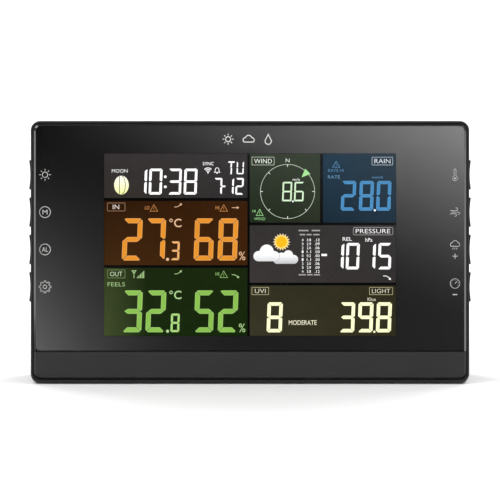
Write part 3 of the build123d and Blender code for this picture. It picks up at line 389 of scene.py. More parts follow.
def letters(words, weight):
    """Points and faces of lettering in the built-in typeface, with its front at a positive depth."""
    curve = bpy.data.curves.new("letters", "FONT")
    curve.body = words
    curve.offset = weight
    curve.extrude = 0.1
    curve.resolution_u = 3
    curve.align_x = "RIGHT"
    shown = bpy.data.objects.new("letters", curve)
    bpy.context.scene.collection.objects.link(shown)
    mesh = bpy.data.meshes.new_from_object(shown.evaluated_get(bpy.context.evaluated_depsgraph_get()))
    points = [tuple(v.co) for v in mesh.vertices]
    faces = [list(p.vertices) for p in mesh.polygons]
    bpy.data.objects.remove(shown)
    bpy.data.curves.remove(curve)
    bpy.data.meshes.remove(mesh)
    return points, faces


# ---- Display window: u runs right and v down from its top left corner, in millimetres ----
WINDOW_W = 128.3
WINDOW_H = 80.2
WINDOW_UP = 60.7            # window centre above the case bottom


def window_x(u):
    return u - WINDOW_W / 2


def window_up(v):
    return WINDOW_UP + WINDOW_H / 2 - v


def on_window(points):
    return [(window_x(u), window_up(v)) for u, v in points]


GLASS = depths("lcd_front_glass")[0]
TILE_T = 0.03
TILE_DEPTH = GLASS - 0.05
INK_T = 0.02
INK_DEPTH = TILE_DEPTH - 0.025
CORE_LIFT = 0.03

SEGMENTS = {
    "0": "abcdef", "1": "bc", "2": "abged", "3": "abgcd", "4": "fgbc", "5": "afgcd", "6": "afgedc",
    "7": "abc", "8": "abcdefg", "9": "abcdfg", "-": "g", "U": "bcdef",
}


def segment(which, wide, high, thick, gap):
    """The outline of one segment of a figure, from its top left corner, x right and y down."""
    half = high / 2
    cut = 0.45 * thick                  # corner taken off where two segments meet
    nose = 0.3 * thick                  # how far the middle ends stay from the side
    if which == "a":
        return [(cut / 2 + gap, cut / 2), (cut + gap / 2, 0), (wide - cut - gap / 2, 0),
                (wide - cut / 2 - gap, cut / 2), (wide - thick - gap, thick), (thick + gap, thick)]
    if which == "d":
        return [(x, high - y) for x, y in segment("a", wide, high, thick, gap)]
    if which == "g":
        return [(nose + gap, half), (thick + gap / 2, half - thick / 2),
                (wide - thick - gap / 2, half - thick / 2), (wide - nose - gap, half),
                (wide - thick - gap / 2, half + thick / 2), (thick + gap / 2, half + thick / 2)]
    if which == "f":
        return [(0, cut + gap / 2), (cut / 2, cut / 2 + gap), (thick, thick + gap),
                (thick, half - thick / 2 - gap / 2), (nose, half - gap), (0, half - gap - nose)]
    if which == "e":
        return [(x, high - y) for x, y in segment("f", wide, high, thick, gap)]
    if which == "b":
        return [(wide - x, y) for x, y in segment("f", wide, high, thick, gap)]
    return [(wide - x, high - y) for x, y in segment("f", wide, high, thick, gap)]


def shrunk(outline, inset):
    """A convex outline drawn in by inset on every side."""
    turn = sum(x0 * y1 - x1 * y0 for (x0, y0), (x1, y1) in zip(outline, outline[1:] + outline[:1]))
    first, second = side_points(outline, inset, True)
    return first if turn > 0 else second


SLANT = radians(2.2)        # lean of the segment figures


def figures(piece, text, u0, u1, v0, v1, thick, colour, core=None, pitch=0.0, gap=0.12):
    """Seven-segment figures in the box u0..u1, v0..v1 of the first one; pitch sets the next ones."""
    high = v1 - v0
    lean = high * tan(SLANT)
    wide = u1 - u0 - lean
    for index, figure in enumerate(text):
        left = u0 + index * pitch
        for which in SEGMENTS[figure]:
            outline = segment(which, wide, high, thick, gap)
            leaned = [(left + x + (high - y) * tan(SLANT), v0 + y) for x, y in outline]
            piece.fill(on_window(leaned), colour)
            if core:
                piece.fill(on_window(shrunk(leaned, 0.22)), core, lift=CORE_LIFT)


THIN = -0.01                # takes this off each side of a letter's strokes, as a share of the type size


def caption(piece, words, u0, u1, v0, v1, colour, weight=0.0):
    piece.text(words, window_x(u0), window_x(u1), window_up(v1), window_up(v0), colour, weight)


BOX_LINE = 0.22


def boxed(piece, words, box, inner, line, colour, radius=0.15):
    """A caption in a thin frame; inner is the room that the lettering fills."""
    u0, u1, v0, v1 = box
    frame_path = rounded(window_x(u0), window_x(u1), window_up(v1), window_up(v0), radius, 3)
    piece.stroke(frame_path, BOX_LINE, line, closed=True)
    caption(piece, words, *inner, colour, THIN)


def dot(piece, u, v, radius, colour):
    piece.fill(circle(window_x(u), window_up(v), radius, 16), colour)


WARNING_LINE = 0.2
ARROW_HEAD = 0.6            # half the width of an arrow's head
ARROW_LENGTH = 1.6          # length of the head in half widths


def warning(piece, u0, u1, v0, v1, colour):
    """An alarm triangle with its mark."""
    middle_u = (u0 + u1) / 2
    piece.stroke(on_window([(u0, v1), (middle_u, v0), (u1, v1)]), WARNING_LINE, colour, closed=True)
    high = v1 - v0
    mark = [(middle_u, v0 + 0.38 * high), (middle_u, v0 + 0.68 * high)]
    piece.stroke(on_window(mark), WARNING_LINE, colour)
    dot(piece, middle_u, v0 + 0.83 * high, 0.14, colour)


def arrow(piece, path, colour, line=0.26):
    """A trend arrow along a path, with its head at the end."""
    points = on_window(path)
    (x0, z0), (x1, z1) = points[-2:]
    size = hypot(x1 - x0, z1 - z0)
    wx, wz = (x1 - x0) / size, (z1 - z0) / size
    piece.stroke(points[:-1] + [(x1 - wx * ARROW_HEAD, z1 - wz * ARROW_HEAD)], line, colour)
    sides = [(x1 - wx * ARROW_LENGTH * ARROW_HEAD + side * wz * ARROW_HEAD,
              z1 - wz * ARROW_LENGTH * ARROW_HEAD - side * wx * ARROW_HEAD) for side in (1, -1)]
    piece.fill([(x1, z1)] + sides, colour)


def cloud_outline(bumps, floor, count=44):
    """The outline of a cloud of round bumps over a flat bottom, all in the window's frame."""
    u0 = min(u - r for u, v, r in bumps)
    u1 = max(u + r for u, v, r in bumps)
    upper, lower = [], []
    for i in range(count + 1):
        u = u0 + (u1 - u0) * (1 - cos(pi * i / count)) / 2
        reach = [(v, sqrt(max(r * r - (u - bu) ** 2, 0.0))) for bu, v, r in bumps if abs(u - bu) <= r + 1e-6]
        upper.append((u, min(v - s for v, s in reach)))
        inside = bumps[0][0] <= u <= bumps[-1][0]
        lower.append((u, floor if inside else min(max(v + s for v, s in reach), floor)))
    return upper + lower[-2:0:-1]


# ---- Tiles ----
TILES = {
    "clock": ((0.1, 63.0, 0.1, 19.6), ("#363132", "#353233", "#322e2a", "#2c2a2b"), 1.0),
    "indoor": ((0.1, 63.0, 20.9, 49.1), ("#2c1400", "#361a01", "#3d2203", "#3c1d01"), 1.0),
    "outdoor": ((0.1, 63.0, 50.3, 80.1), ("#343f1e", "#142303", "#3c4a22", "#0f2401"), 0.3),
    "wind": ((64.05, 94.9, 0.1, 30.4), ("#30382c", "#313b2c", "#1b2717", "#262c1f"), 1.0),
    "rain": ((96.2, 128.2, 0.1, 30.4), ("#0e3247", "#162e3d", "#0f2533", "#142b3d"), 1.0),
    "pressure": ((64.05, 128.2, 31.6, 56.8), ("#343030", "#343132", "#383433", "#302d2c"), 1.0),
    "light": ((64.05, 128.2, 58.0, 80.1), ("#302f1d", "#2d2919", "#363423", "#2e2a19"), 1.0),
}


def make_tiles():
    for name, ((u0, u1, v0, v1), corners, fade) in TILES.items():
        piece = Piece("tile_" + name, "case", TILE_DEPTH, TILE_T)
        made = tile_glow("tile_" + name, corners, u0, u1, v0, v1, fade)
        outline = rounded(window_x(u0), window_x(u1), window_up(v1), window_up(v0), 0.35, 3)
        piece.fill(outline, made)
        piece.make()


# ---- Display contents ----
WHITE = glow("lit_white", ink("#ffffff"))
DIM_WHITE = glow("lit_dim_white", ink("#9a9896"))
LINE_DARK = glow("lit_dark_line", ink("#4a4a2c"))


def moon(piece):
    low = place(0, 0, window_up(18.1)).dot(UP)
    high = place(0, 0, window_up(10.5)).dot(UP)
    face = glow("lit_moon", ink("#e9ee9a"), ink("#fffff2"), UP, low, high)
    u, v, wide, high_share = 7.7, 13.97, 3.22, 1.28
    piece.fill(circle(window_x(u), window_up(v), wide, 40, high_share), face)
    left = [(u - 0.85, v - 3.95), (u - 0.85, v + 3.95)]
    piece.stroke(on_window(left), 0.28, LINE_DARK, lift=CORE_LIFT)
    bow = [(u + 1.7 * cos(t), v - 4.0 * sin(t)) for t in [radians(-86 + 172 * i / 14) for i in range(15)]]
    piece.stroke(on_window(bow), 0.28, LINE_DARK, lift=CORE_LIFT)


def make_clock():
    piece = Piece("clock_figures", "case", INK_DEPTH, INK_T)
    caption(piece, "MOON", 3.5, 10.35, 6.95, 8.5, WHITE, THIN)
    moon(piece)
    figures(piece, "1", 13.0, 19.1, 6.7, 18.1, 1.1, WHITE)
    figures(piece, "0", 19.6, 25.8, 6.7, 18.1, 1.1, WHITE)
    figures(piece, "38", 28.1, 34.3, 6.7, 18.1, 1.1, WHITE, pitch=6.85)
    dot(piece, 26.95, 10.3, 0.62, WHITE)
    dot(piece, 26.95, 14.7, 0.62, WHITE)
    caption(piece, "SYNC", 43.4, 48.2, 3.8, 5.25, WHITE)
    for radius in (0.8, 1.5, 2.2):
        piece.stroke(arc(window_x(45.7), window_up(8.6), radius, 45, 135, 8), 0.34, WHITE)
    dot(piece, 45.7, 8.5, 0.32, WHITE)
    bell = [(48.5, 8.3), (48.85, 7.85), (48.9, 7.0), (49.2, 6.5), (49.7, 6.3), (50.2, 6.5), (50.5, 7.0),
            (50.55, 7.85), (50.9, 8.3)]
    piece.stroke(on_window(bell), 0.26, WHITE, closed=True)
    piece.stroke(on_window([(49.35, 8.75), (50.05, 8.75)]), 0.36, WHITE)
    figures(piece, "U", 58.2, 61.55, 3.5, 9.15, 0.56, WHITE, gap=0.1)
    t_bar = [(54.5, 3.85), (54.85, 3.5), (57.3, 3.5), (57.55, 3.85), (57.2, 4.15), (54.8, 4.15)]
    piece.fill(on_window(t_bar), WHITE)
    for v0, v1 in ((4.3, 6.2), (6.4, 9.15)):
        piece.stroke(on_window([(56.0, v0), (55.85, v1)]), 0.62, WHITE)
    figures(piece, "7", 48.2, 52.05, 10.8, 18.15, 0.78, WHITE, gap=0.1)
    piece.stroke(on_window([(51.75, 14.5), (53.3, 14.5)]), 0.72, WHITE)
    figures(piece, "12", 53.35, 57.2, 10.8, 18.15, 0.78, WHITE, pitch=4.3, gap=0.1)
    piece.make()


def degree_c(piece, v, colour):
    piece.stroke(circle(window_x(29.5), window_up(v + 0.75), 0.6, 16), 0.34, colour, closed=True)
    caption(piece, "C", 30.8, 34.05, v, v + 3.75, colour, 0.01)


def make_indoor():
    piece = Piece("indoor_figures", "case", INK_DEPTH, INK_T)
    edge, core = glow("lit_orange_edge", ink("#e6a05a")), glow("lit_orange", ink("#da8a28"))
    pale, dull = glow("lit_peach", ink("#deb48e")), glow("lit_brown_orange", ink("#c8864a"))
    line, beige = glow("lit_tan_line", ink("#98765c")), glow("lit_beige", ink("#f4e2d8"))
    boxed(piece, "IN", (1.55, 9.25, 21.8, 25.3), (3.9, 6.7, 22.55, 24.5), line, beige)
    caption(piece, "LO", 18.0, 20.0, 23.1, 24.65, dull)
    warning(piece, 20.3, 23.6, 22.5, 25.4, dull)
    arrow(piece, [(30.95, 23.55), (32.2, 23.5), (33.2, 22.9), (34.3, 22.0)], pale)
    caption(piece, "HI", 49.05, 50.6, 23.1, 24.65, dull)
    warning(piece, 50.95, 54.3, 22.5, 25.4, dull)
    arrow(piece, [(56.2, 23.85), (57.8, 23.85), (59.4, 23.85)], pale)
    figures(piece, "27", 7.8, 17.1, 28.55, 47.05, 2.15, edge, core, pitch=10.25, gap=0.16)
    figures(piece, "68", 39.35, 48.6, 28.55, 47.05, 2.15, edge, core, pitch=10.5, gap=0.16)
    degree_c(piece, 28.7, pale)
    dot(piece, 27.95, 46.55, 0.68, pale)
    figures(piece, "3", 29.2, 33.35, 38.65, 46.9, 0.92, glow("lit_light_orange", ink("#e6aa6c")), gap=0.1)
    caption(piece, "%", 59.25, 62.1, 43.15, 46.95, pale)
    piece.make()


def make_outdoor():
    piece = Piece("outdoor_figures", "case", INK_DEPTH, INK_T)
    edge, core = glow("lit_green_edge", ink("#9cc86e")), glow("lit_green", ink("#82b64c"))
    pale, dull = glow("lit_pale_green", ink("#a8cc8c")), glow("lit_mid_green", ink("#8cb868"))
    line = glow("lit_green_line", ink("#6f8654"))
    muted = glow("lit_muted_green", ink("#a6ca8a"))
    mint = glow("lit_mint", ink("#cce4b8"))
    boxed(piece, "OUT", (1.65, 9.25, 51.2, 54.7), (2.75, 8.1, 52.0, 53.95), line, mint)
    piece.stroke(on_window([(13.2, 51.5), (13.2, 54.8)]), 0.28, muted)
    piece.stroke(on_window([(12.3, 51.5), (14.1, 51.5), (13.2, 52.9)]), 0.24, muted, closed=True)
    for index in range(5):
        u = 14.75 + 0.68 * index
        piece.stroke(on_window([(u, 54.8 - 0.62 * (index + 1)), (u, 54.8)]), 0.38, muted)
    arrow(piece, [(30.95, 52.95), (32.2, 52.9), (33.2, 52.3), (34.3, 51.4)], pale)
    caption(piece, "HI", 49.05, 50.6, 52.2, 53.75, dull)
    warning(piece, 50.95, 54.3, 51.65, 54.55, dull)
    arrow(piece, [(56.2, 53.3), (57.4, 53.35), (58.4, 53.9), (59.4, 54.8)], pale)
    caption(piece, "FEELS", 1.65, 9.25, 56.6, 58.4, muted, THIN)
    figures(piece, "32", 7.85, 17.1, 60.2, 78.55, 2.15, edge, core, pitch=10.35, gap=0.16)
    figures(piece, "52", 39.45, 48.6, 60.2, 78.55, 2.15, edge, core, pitch=10.5, gap=0.16)
    degree_c(piece, 60.3, pale)
    dot(piece, 27.95, 78.1, 0.68, pale)
    figures(piece, "8", 29.2, 33.35, 70.35, 78.5, 0.92, glow("lit_light_green", ink("#a8d47e")), gap=0.1)
    caption(piece, "%", 59.25, 62.1, 74.75, 78.55, pale)
    piece.make()


def make_wind():
    piece = Piece("wind_figures", "case", INK_DEPTH, INK_T)
    bright, line = glow("lit_wind", ink("#cfeac6")), glow("lit_wind_line", ink("#b0bca8"))
    green = glow("lit_wind_green", ink("#9cd890"))
    words = glow("lit_wind_words", ink("#f4faf0"))
    boxed(piece, "WIND", (65.0, 74.75, 1.65, 5.1), (66.0, 73.75, 2.45, 4.4), line, words)
    caption(piece, "N", 79.85, 81.5, 2.3, 3.9, words, THIN)
    cu, cv, radius = 80.65, 16.75, 11.9
    ring = glow("lit_wind_ring", ink("#ccd8c6"))
    piece.stroke(circle(window_x(cu), window_up(cv), radius, 72), 0.18, ring, closed=True)
    for turn in range(0, 360, 45):
        way = (cos(radians(turn)), sin(radians(turn)))
        tick = [(cu + way[0] * r, cv + way[1] * r) for r in (radius, radius - 1.05)]
        piece.stroke(on_window(tick), 0.24, words)
    piece.fill(on_window([(86.8, 10.55), (88.4, 6.75), (90.7, 9.05)]), green, lift=CORE_LIFT)
    caption(piece, "m/s", 82.9, 86.0, 10.9, 12.0, words)
    figures(piece, "8", 78.2, 82.75, 12.5, 21.05, 0.7, bright, gap=0.06)
    figures(piece, "6", 83.4, 87.95, 12.5, 21.05, 0.7, bright, gap=0.06)
    dot(piece, 83.0, 21.1, 0.4, WHITE)
    caption(piece, "HI", 65.25, 66.6, 24.8, 25.9, green)
    warning(piece, 66.9, 69.9, 24.5, 27.3, green)
    caption(piece, "WIND", 65.95, 70.8, 28.1, 29.35, green, THIN)
    piece.make()


def make_rain():
    piece = Piece("rain_figures", "case", INK_DEPTH, INK_T)
    blue, edge = glow("lit_blue", ink("#4082b4")), glow("lit_blue_edge", ink("#5090c2"))
    dim, line = glow("lit_dim_blue", ink("#5688b0")), glow("lit_rain_line", ink("#a8b4bc"))
    words = glow("lit_rain_words", ink("#e4ecf2"))
    boxed(piece, "RAIN", (117.75, 126.8, 1.7, 5.1), (118.8, 125.8, 2.45, 4.35), line, words)
    warning(piece, 100.4, 103.6, 3.5, 6.1, dim)
    caption(piece, "RATE HI", 98.55, 105.3, 6.9, 8.15, dim, THIN)
    caption(piece, "RATE", 98.4, 103.7, 9.65, 11.05, glow("lit_rate", ink("#6c9cc0")), THIN)
    caption(piece, "mm/h", 117.75, 122.5, 9.9, 11.05, dim)
    figures(piece, "2", 103.95, 110.85, 12.1, 25.15, 1.42, edge, blue)
    figures(piece, "8", 111.9, 118.65, 12.1, 25.15, 1.42, edge, blue)
    figures(piece, "0", 119.5, 126.3, 12.1, 25.15, 1.42, edge, blue)
    dot(piece, 118.95, 25.0, 0.5, words)
    piece.make()


SUN_SPIKES = 18


def make_forecast():
    piece = Piece("forecast_picture", "case", INK_DEPTH, INK_T)
    rim, core = glow("lit_sun_rim", ink("#fff0c8")), glow("lit_sun", ink("#ffc83c"))
    su, sv = 78.0, 38.9
    for lift, tip, valley, tone in ((0.0, 3.85, 2.75, rim), (CORE_LIFT / 2, 3.5, 2.4, core)):
        star = []
        for index in range(2 * SUN_SPIKES):
            radius = tip if index % 2 == 0 else valley
            turn = pi * index / SUN_SPIKES
            star.append((su + radius * cos(turn), sv + radius * sin(turn)))
        piece.fill(on_window(star), tone, lift=lift)
    disc = glow("lit_sun_disc", ink("#ffb41a"))
    piece.fill(circle(window_x(su), window_up(sv), 2.3, 32), disc, lift=CORE_LIFT)
    shade = glow("lit_cloud_edge", ink("#8f8f90"))
    clouds = [
        ([(76.2, 46.6, 1.85), (78.0, 45.2, 1.6), (80.95, 44.7, 2.1), (83.35, 46.55, 1.9)], 48.45, "#b9babc"),
        ([(67.9, 45.15, 2.2), (71.5, 43.1, 3.0), (74.9, 45.2, 2.2)], 47.35, "#d4d5d7"),
    ]
    for index, (bumps, floor, low_tone) in enumerate(clouds):
        low = place(0, 0, window_up(floor)).dot(UP)
        high = place(0, 0, window_up(floor - 4.2)).dot(UP)
        body = glow("lit_cloud_%d" % index, ink(low_tone), ink("#ffffff"), UP, low, high)
        lift = CORE_LIFT * (1.5 + index)
        grown = [(u, v, r + 0.12) for u, v, r in bumps]
        piece.fill(on_window(cloud_outline(grown, floor + 0.1)), shade, lift=lift)
        piece.fill(on_window(cloud_outline(bumps, floor)), body, lift=lift + CORE_LIFT / 2)
    piece.make()


def make_pressure():
    piece = Piece("pressure_figures", "case", INK_DEPTH, INK_T)
    boxed(piece, "PRESSURE", (109.5, 126.85, 32.5, 35.8), (110.6, 125.7, 33.2, 35.1), DIM_WHITE, WHITE, 0.6)
    caption(piece, "REL", 104.85, 108.9, 36.85, 38.4, WHITE)
    caption(piece, "hPa", 114.85, 117.9, 37.2, 38.8, WHITE)
    figures(piece, "1", 99.35, 105.6, 39.35, 50.95, 1.2, WHITE)
    figures(piece, "0", 106.15, 112.4, 39.35, 50.95, 1.2, WHITE)
    figures(piece, "1", 113.25, 119.5, 39.35, 50.95, 1.2, WHITE)
    figures(piece, "5", 120.2, 126.4, 39.35, 50.95, 1.2, WHITE)
    arrow(piece, [(122.65, 53.8), (124.0, 53.85), (125.1, 54.5), (126.0, 55.7)], WHITE, line=0.3)
    piece.fill(on_window([(95.55, 44.15), (97.95, 44.15), (97.95, 45.1), (95.55, 45.1)]), WHITE)
    steps = [4, 3, 2, 1, 0, 1, 2, 3, 4]
    pitch = 1.735
    for row, step in enumerate(steps):
        v = 37.45 + pitch * row
        caption(piece, str(step), 86.9, 87.6, v, v + 1.15, WHITE)
        caption(piece, "%.1f" % (0.9 * step + 0.2), 89.1, 90.9, v, v + 1.15, WHITE)
        caption(piece, ".%02d" % (3 * step), 92.6, 94.7, v, v + 1.15, WHITE)
    for v, runs in ((33.9, ((85.4, 89.9), (91.2, 94.9))), (35.7, ((86.0, 88.4), (89.0, 91.2), (91.9, 94.7))),
                    (53.3, ((85.5, 88.6), (89.2, 91.6), (92.2, 94.9)))):
        for u0, u1 in runs:
            piece.stroke(on_window([(u0, v), (u1, v)]), 0.6, DIM_WHITE)
    piece.make()


def make_light():
    piece = Piece("light_figures", "case", INK_DEPTH, INK_T)
    yellow, words = glow("lit_yellow", ink("#ffffcc")), glow("lit_yellow_words", ink("#dcd9c0"))
    line = glow("lit_yellow_line", ink("#a8a27c"))
    boxed(piece, "UVI", (65.0, 72.35, 58.85, 62.05), (66.3, 71.0, 59.5, 61.4), line, words)
    boxed(piece, "LIGHT", (116.6, 126.75, 58.85, 62.05), (117.7, 125.7, 59.5, 61.4), line, words)
    figures(piece, "8", 71.4, 78.6, 65.4, 78.6, 1.52, yellow)
    figures(piece, "3", 103.3, 110.4, 65.4, 78.6, 1.52, yellow)
    figures(piece, "9", 111.35, 118.45, 65.4, 78.6, 1.52, yellow)
    figures(piece, "8", 119.4, 126.5, 65.4, 78.6, 1.52, yellow)
    dot(piece, 118.75, 78.35, 0.5, yellow)
    caption(piece, "MODERATE", 81.2, 93.4, 73.3, 75.35, glow("lit_cream", ink("#efeacc")))
    caption(piece, "Klux", 115.8, 119.5, 63.3, 64.85, words)
    piece.make()


# ---- Printed symbols behind the lens ----
LINE_W = 0.3
SYMBOL_X = 90.0             # key symbols from the case's middle
SUN_RAYS = 8
PRINT_T = 0.03
PRINT_DEPTH = depths("front_lens")[1] - 0.045


def gear(x, z, teeth, outer, inner):
    points = []
    for index in range(teeth):
        for share, radius in ((-0.3, inner), (-0.17, outer), (0.17, outer), (0.3, inner)):
            turn = 2 * pi * (index + share) / teeth
            points.append((x + radius * cos(turn), z + radius * sin(turn)))
    return points


def sun_lines(piece, x, z, size, made, line=LINE_W):
    piece.stroke(circle(x, z, 0.46 * size, 28), line, made, closed=True)
    for index in range(SUN_RAYS):
        turn = 2 * pi * index / SUN_RAYS
        ray = [(x + r * size * cos(turn), z + r * size * sin(turn)) for r in (0.7, 1.0)]
        piece.stroke(ray, line, made)


def cloud_path(x, z, size):
    """A small cloud outline about twice size wide."""
    bumps = [(-0.55, 0.15, 0.42), (0.0, -0.1, 0.58), (0.55, 0.15, 0.42)]
    outline = cloud_outline([(u * size, v * size, r * size) for u, v, r in bumps], 0.5 * size, 30)
    return [(x + u, z - v) for u, v in outline]


def drop_path(x, z, size):
    low = arc(x, z - 0.3 * size, 0.6 * size, -215, 35, 20)
    return low + [(x, z + size)]


def make_key_symbols(made):
    piece = Piece("key_symbols", "case", PRINT_DEPTH, PRINT_T)
    keys = ("brightness", "memory", "alarm", "settings",
            "temperature", "wind", "rain_plus", "pressure_minus")
    up = {key: middle("key_" + key)[2] for key in keys}
    x = -SYMBOL_X
    sun_lines(piece, x, up["brightness"], 2.55, made)
    for key, words, half_w in (("memory", "M", 1.1), ("alarm", "AL", 1.35)):
        z = up[key]
        piece.stroke(circle(x, z, 2.38, 40), LINE_W, made, closed=True)
        piece.text(words, x - half_w, x + half_w, z - 1.0, z + 1.0, made)
    piece.stroke(gear(x, up["settings"], 8, 2.65, 2.0), 0.24, made, closed=True)
    piece.stroke(circle(x, up["settings"], 0.8, 24), 0.26, made, closed=True)
    x = SYMBOL_X
    z = up["temperature"]
    bulb = arc(x, z - 1.6, 1.05, 114, 426, 20)
    stem = arc(x, z + 2.1, 0.43, 0, 180, 8)
    piece.stroke(bulb + stem, 0.22, made, closed=True)
    piece.fill(circle(x, z - 1.6, 0.42, 16), made)
    z = up["wind"]
    gusts = ((0.62, -2.1, 0.9, 0.62), (-0.02, -1.5, 1.9, -0.5), (-0.75, -2.1, 0.5, -0.55))
    for rise, start, reach, curl in gusts:
        turn = arc(x + reach - 0.4, z + rise + abs(curl), abs(curl), -90, 120, 12)
        if curl < 0:
            turn = [(px, 2 * (z + rise) - pz) for px, pz in turn]
        piece.stroke([(x + start, z + rise)] + turn, 0.24, made)
    z = up["rain_plus"] + 1.85
    cloud = cloud_path(x, z + 0.6, 2.1)
    piece.stroke(cloud, 0.26, made, closed=True)
    for shift in (-0.85, 0.0, 0.85):
        piece.stroke([(x + shift + 0.1, z - 1.05), (x + shift - 0.25, z - 1.85)], 0.24, made)
    z = up["rain_plus"] - 2.95
    piece.stroke([(x - 1.15, z), (x + 1.15, z)], 0.36, made)
    piece.stroke([(x, z - 1.15), (x, z + 1.15)], 0.36, made, lift=PRINT_T / 4)
    z = up["pressure_minus"] + 1.45
    piece.stroke(circle(x, z, 2.1, 36), 0.22, made, closed=True)
    for turn in range(-30, 211, 40):
        tick = [(x + r * cos(radians(turn)), z + r * sin(radians(turn))) for r in (1.4, 1.75)]
        piece.stroke(tick, 0.22, made)
    piece.stroke([(x, z), (x + 0.85, z + 0.85)], 0.3, made)
    z = up["pressure_minus"] - 3.4
    piece.stroke([(x - 1.0, z), (x + 1.0, z)], 0.46, made)
    piece.make()


def make_front_glyphs(made):
    """Sun, cloud and drop in line, over the display."""
    piece = Piece("front_glyphs", "case", PRINT_DEPTH, PRINT_T)
    z = 107.0
    sun_lines(piece, -9.6, z, 2.4, made, 0.4)
    piece.stroke(cloud_path(-0.6, z, 2.5), 0.42, made, closed=True)
    piece.stroke(drop_path(8.0, z - 0.2, 2.3), 0.42, made, closed=True)
    piece.make()


# ---- Marks on the rear ----
REAR_FACE = depths("rear_cover")[1]


def make_rear_marks(made):
    """Printed symbols beside the rear controls. They are drawn as seen from the front."""
    piece = Piece("rear_symbols", "case", REAR_FACE, PRINT_T)
    x, _, z = middle("sensor_button")
    for radius in (1.0, 1.8, 2.6):
        piece.stroke(arc(x - 5.4, z - 0.9, radius, 45, 135, 8), 0.32, made)
    piece.fill(circle(x - 5.4, z - 0.9, 0.4, 16), made)
    x, _, z = middle("refresh_button")
    piece.stroke(arc(x - 5.4, z, 1.5, 60, 350, 24), 0.34, made)
    piece.fill([(x - 4.9, z + 1.9), (x - 3.5, z + 1.2), (x - 4.9, z + 0.4)], made)
    x, _, z = middle("dimmer_knob")
    sun_lines(piece, x - 8.0, z, 1.25, made, 0.28)
    sun_lines(piece, x + 8.2, z, 1.9, made, 0.28)
    x, _, z = middle("dc_jack")
    y = z + 8.4
    piece.stroke(arc(x, y, 1.0, 40, 320, 20), 0.28, made)
    piece.fill(circle(x, y, 0.4, 14), made)
    for side in (-1, 1):
        piece.stroke(circle(x + side * 3.6, y, 0.95, 24), 0.26, made, closed=True)
        piece.stroke([(x + side * 3.6 - 0.5, y), (x + side * 3.6 + 0.5, y)], 0.24, made)
    piece.stroke([(x - 3.6, y - 0.5), (x - 3.6, y + 0.5)], 0.24, made, lift=-0.005)
    piece.stroke([(x - 2.6, y), (x - 0.4, y)], 0.26, made, lift=-0.005)
    piece.stroke([(x + 1.0, y), (x + 2.6, y)], 0.26, made)
    piece.make()


# ---- Finishes of the CAD pieces ----
finishes = {
    "case_black": surface("case_plastic", (0.013, 0.013, 0.0135), 0.46, grain=0.35, height=0.012, pits=True),
    "chin_black": surface("chin_plastic", (0.0195, 0.0195, 0.0195), 0.6, grain=0.45, height=0.03, pits=True),
    "key_black": surface("key_plastic", (0.018, 0.018, 0.018), 0.38, grain=0.25, height=0.006),
    "lens_clear": clear("lens_plastic", (0.003, 0.003, 0.0032), LENS_ALPHA, 1.49, 0.03),
    "mask_black": surface("mask_print", (0.0035, 0.0035, 0.0038), 0.05, uneven=0.006, grain=2.5,
                          height=0.0001, IOR=1.51),
    "tape_black": surface("tape_foam", (0.01, 0.01, 0.01), 0.8, grain=0.2, height=0.02),
    "lcd_glass": surface("display_glass", (0.001, 0.001, 0.001), 0.06, uneven=0.02, grain=2.0, height=0.0003,
                         Specular_IOR_Level=0.106),
    "colour_print": surface("colour_film", ink("#40342a"), 0.4),
    "guide_clear": surface("light_guide_acrylic", ink("#c8ccd0"), 0.2),
    "white_sheet": surface("white_film", ink("#e6e6e4"), 0.6),
    "holder_white": surface("holder_plastic", ink("#dcdcd8"), 0.5, drift=0.05),
    "led_board": surface("led_board", ink("#e0e2dc"), 0.4, drift=0.06),
    "zebra_rubber": surface("zebra_rubber", ink("#6a6560"), 0.7),
    "board_green": board_surface("circuit_board"),
    "chip_black": surface("chip_resin", (0.012, 0.012, 0.013), 0.5, grain=0.1, height=0.006),
    "shield_metal": metal("shield_tinplate", (0.58, 0.57, 0.55), 0.32),
    "screw_steel": metal("screw_steel", (0.32, 0.32, 0.33), 0.34),
    "wire_copper": surface("wire_coat", ink("#3a3a3c"), 0.4),
    "part_black": surface("part_plastic", (0.014, 0.014, 0.015), 0.42),
    "sensor_white": surface("sensor_housing", ink("#d8d8d4"), 0.5, drift=0.05),
    "switch_grey": surface("switch_body", ink("#4a4c50"), 0.45),
    "plunger_tan": surface("switch_plunger", ink("#b08c64"), 0.5),
    "cell_steel": metal("cell_steel", (0.62, 0.62, 0.61), 0.24),
    "contact_plate": metal("contact_plate", (0.66, 0.6, 0.48), 0.3),
    "pad_rubber": surface("pad_rubber", (0.015, 0.015, 0.015), 0.85, grain=0.5, height=0.03),
    "label_grey": surface("label_paper", ink("#b4b6b8"), 0.5, drift=0.04, grain=0.2, height=0.003),
    "button_grey": surface("button_plastic", ink("#3c3e42"), 0.45, grain=0.25, height=0.006),
}
for thing in frame["nodes"].values():
    for slot in thing.material_slots:
        slot.material = finishes[slot.material.name.split(".")[0]]

print_white = surface("print_white", ink("#dadbd8"), 0.55, drift=0.04, grain=0.15, height=0.002)
print_bright = surface("print_bright", ink("#f4f5f2"), 0.55, drift=0.03, grain=0.15, height=0.002)
print_grey = surface("print_grey", ink("#9a9c9c"), 0.55, drift=0.05, grain=0.15, height=0.002)

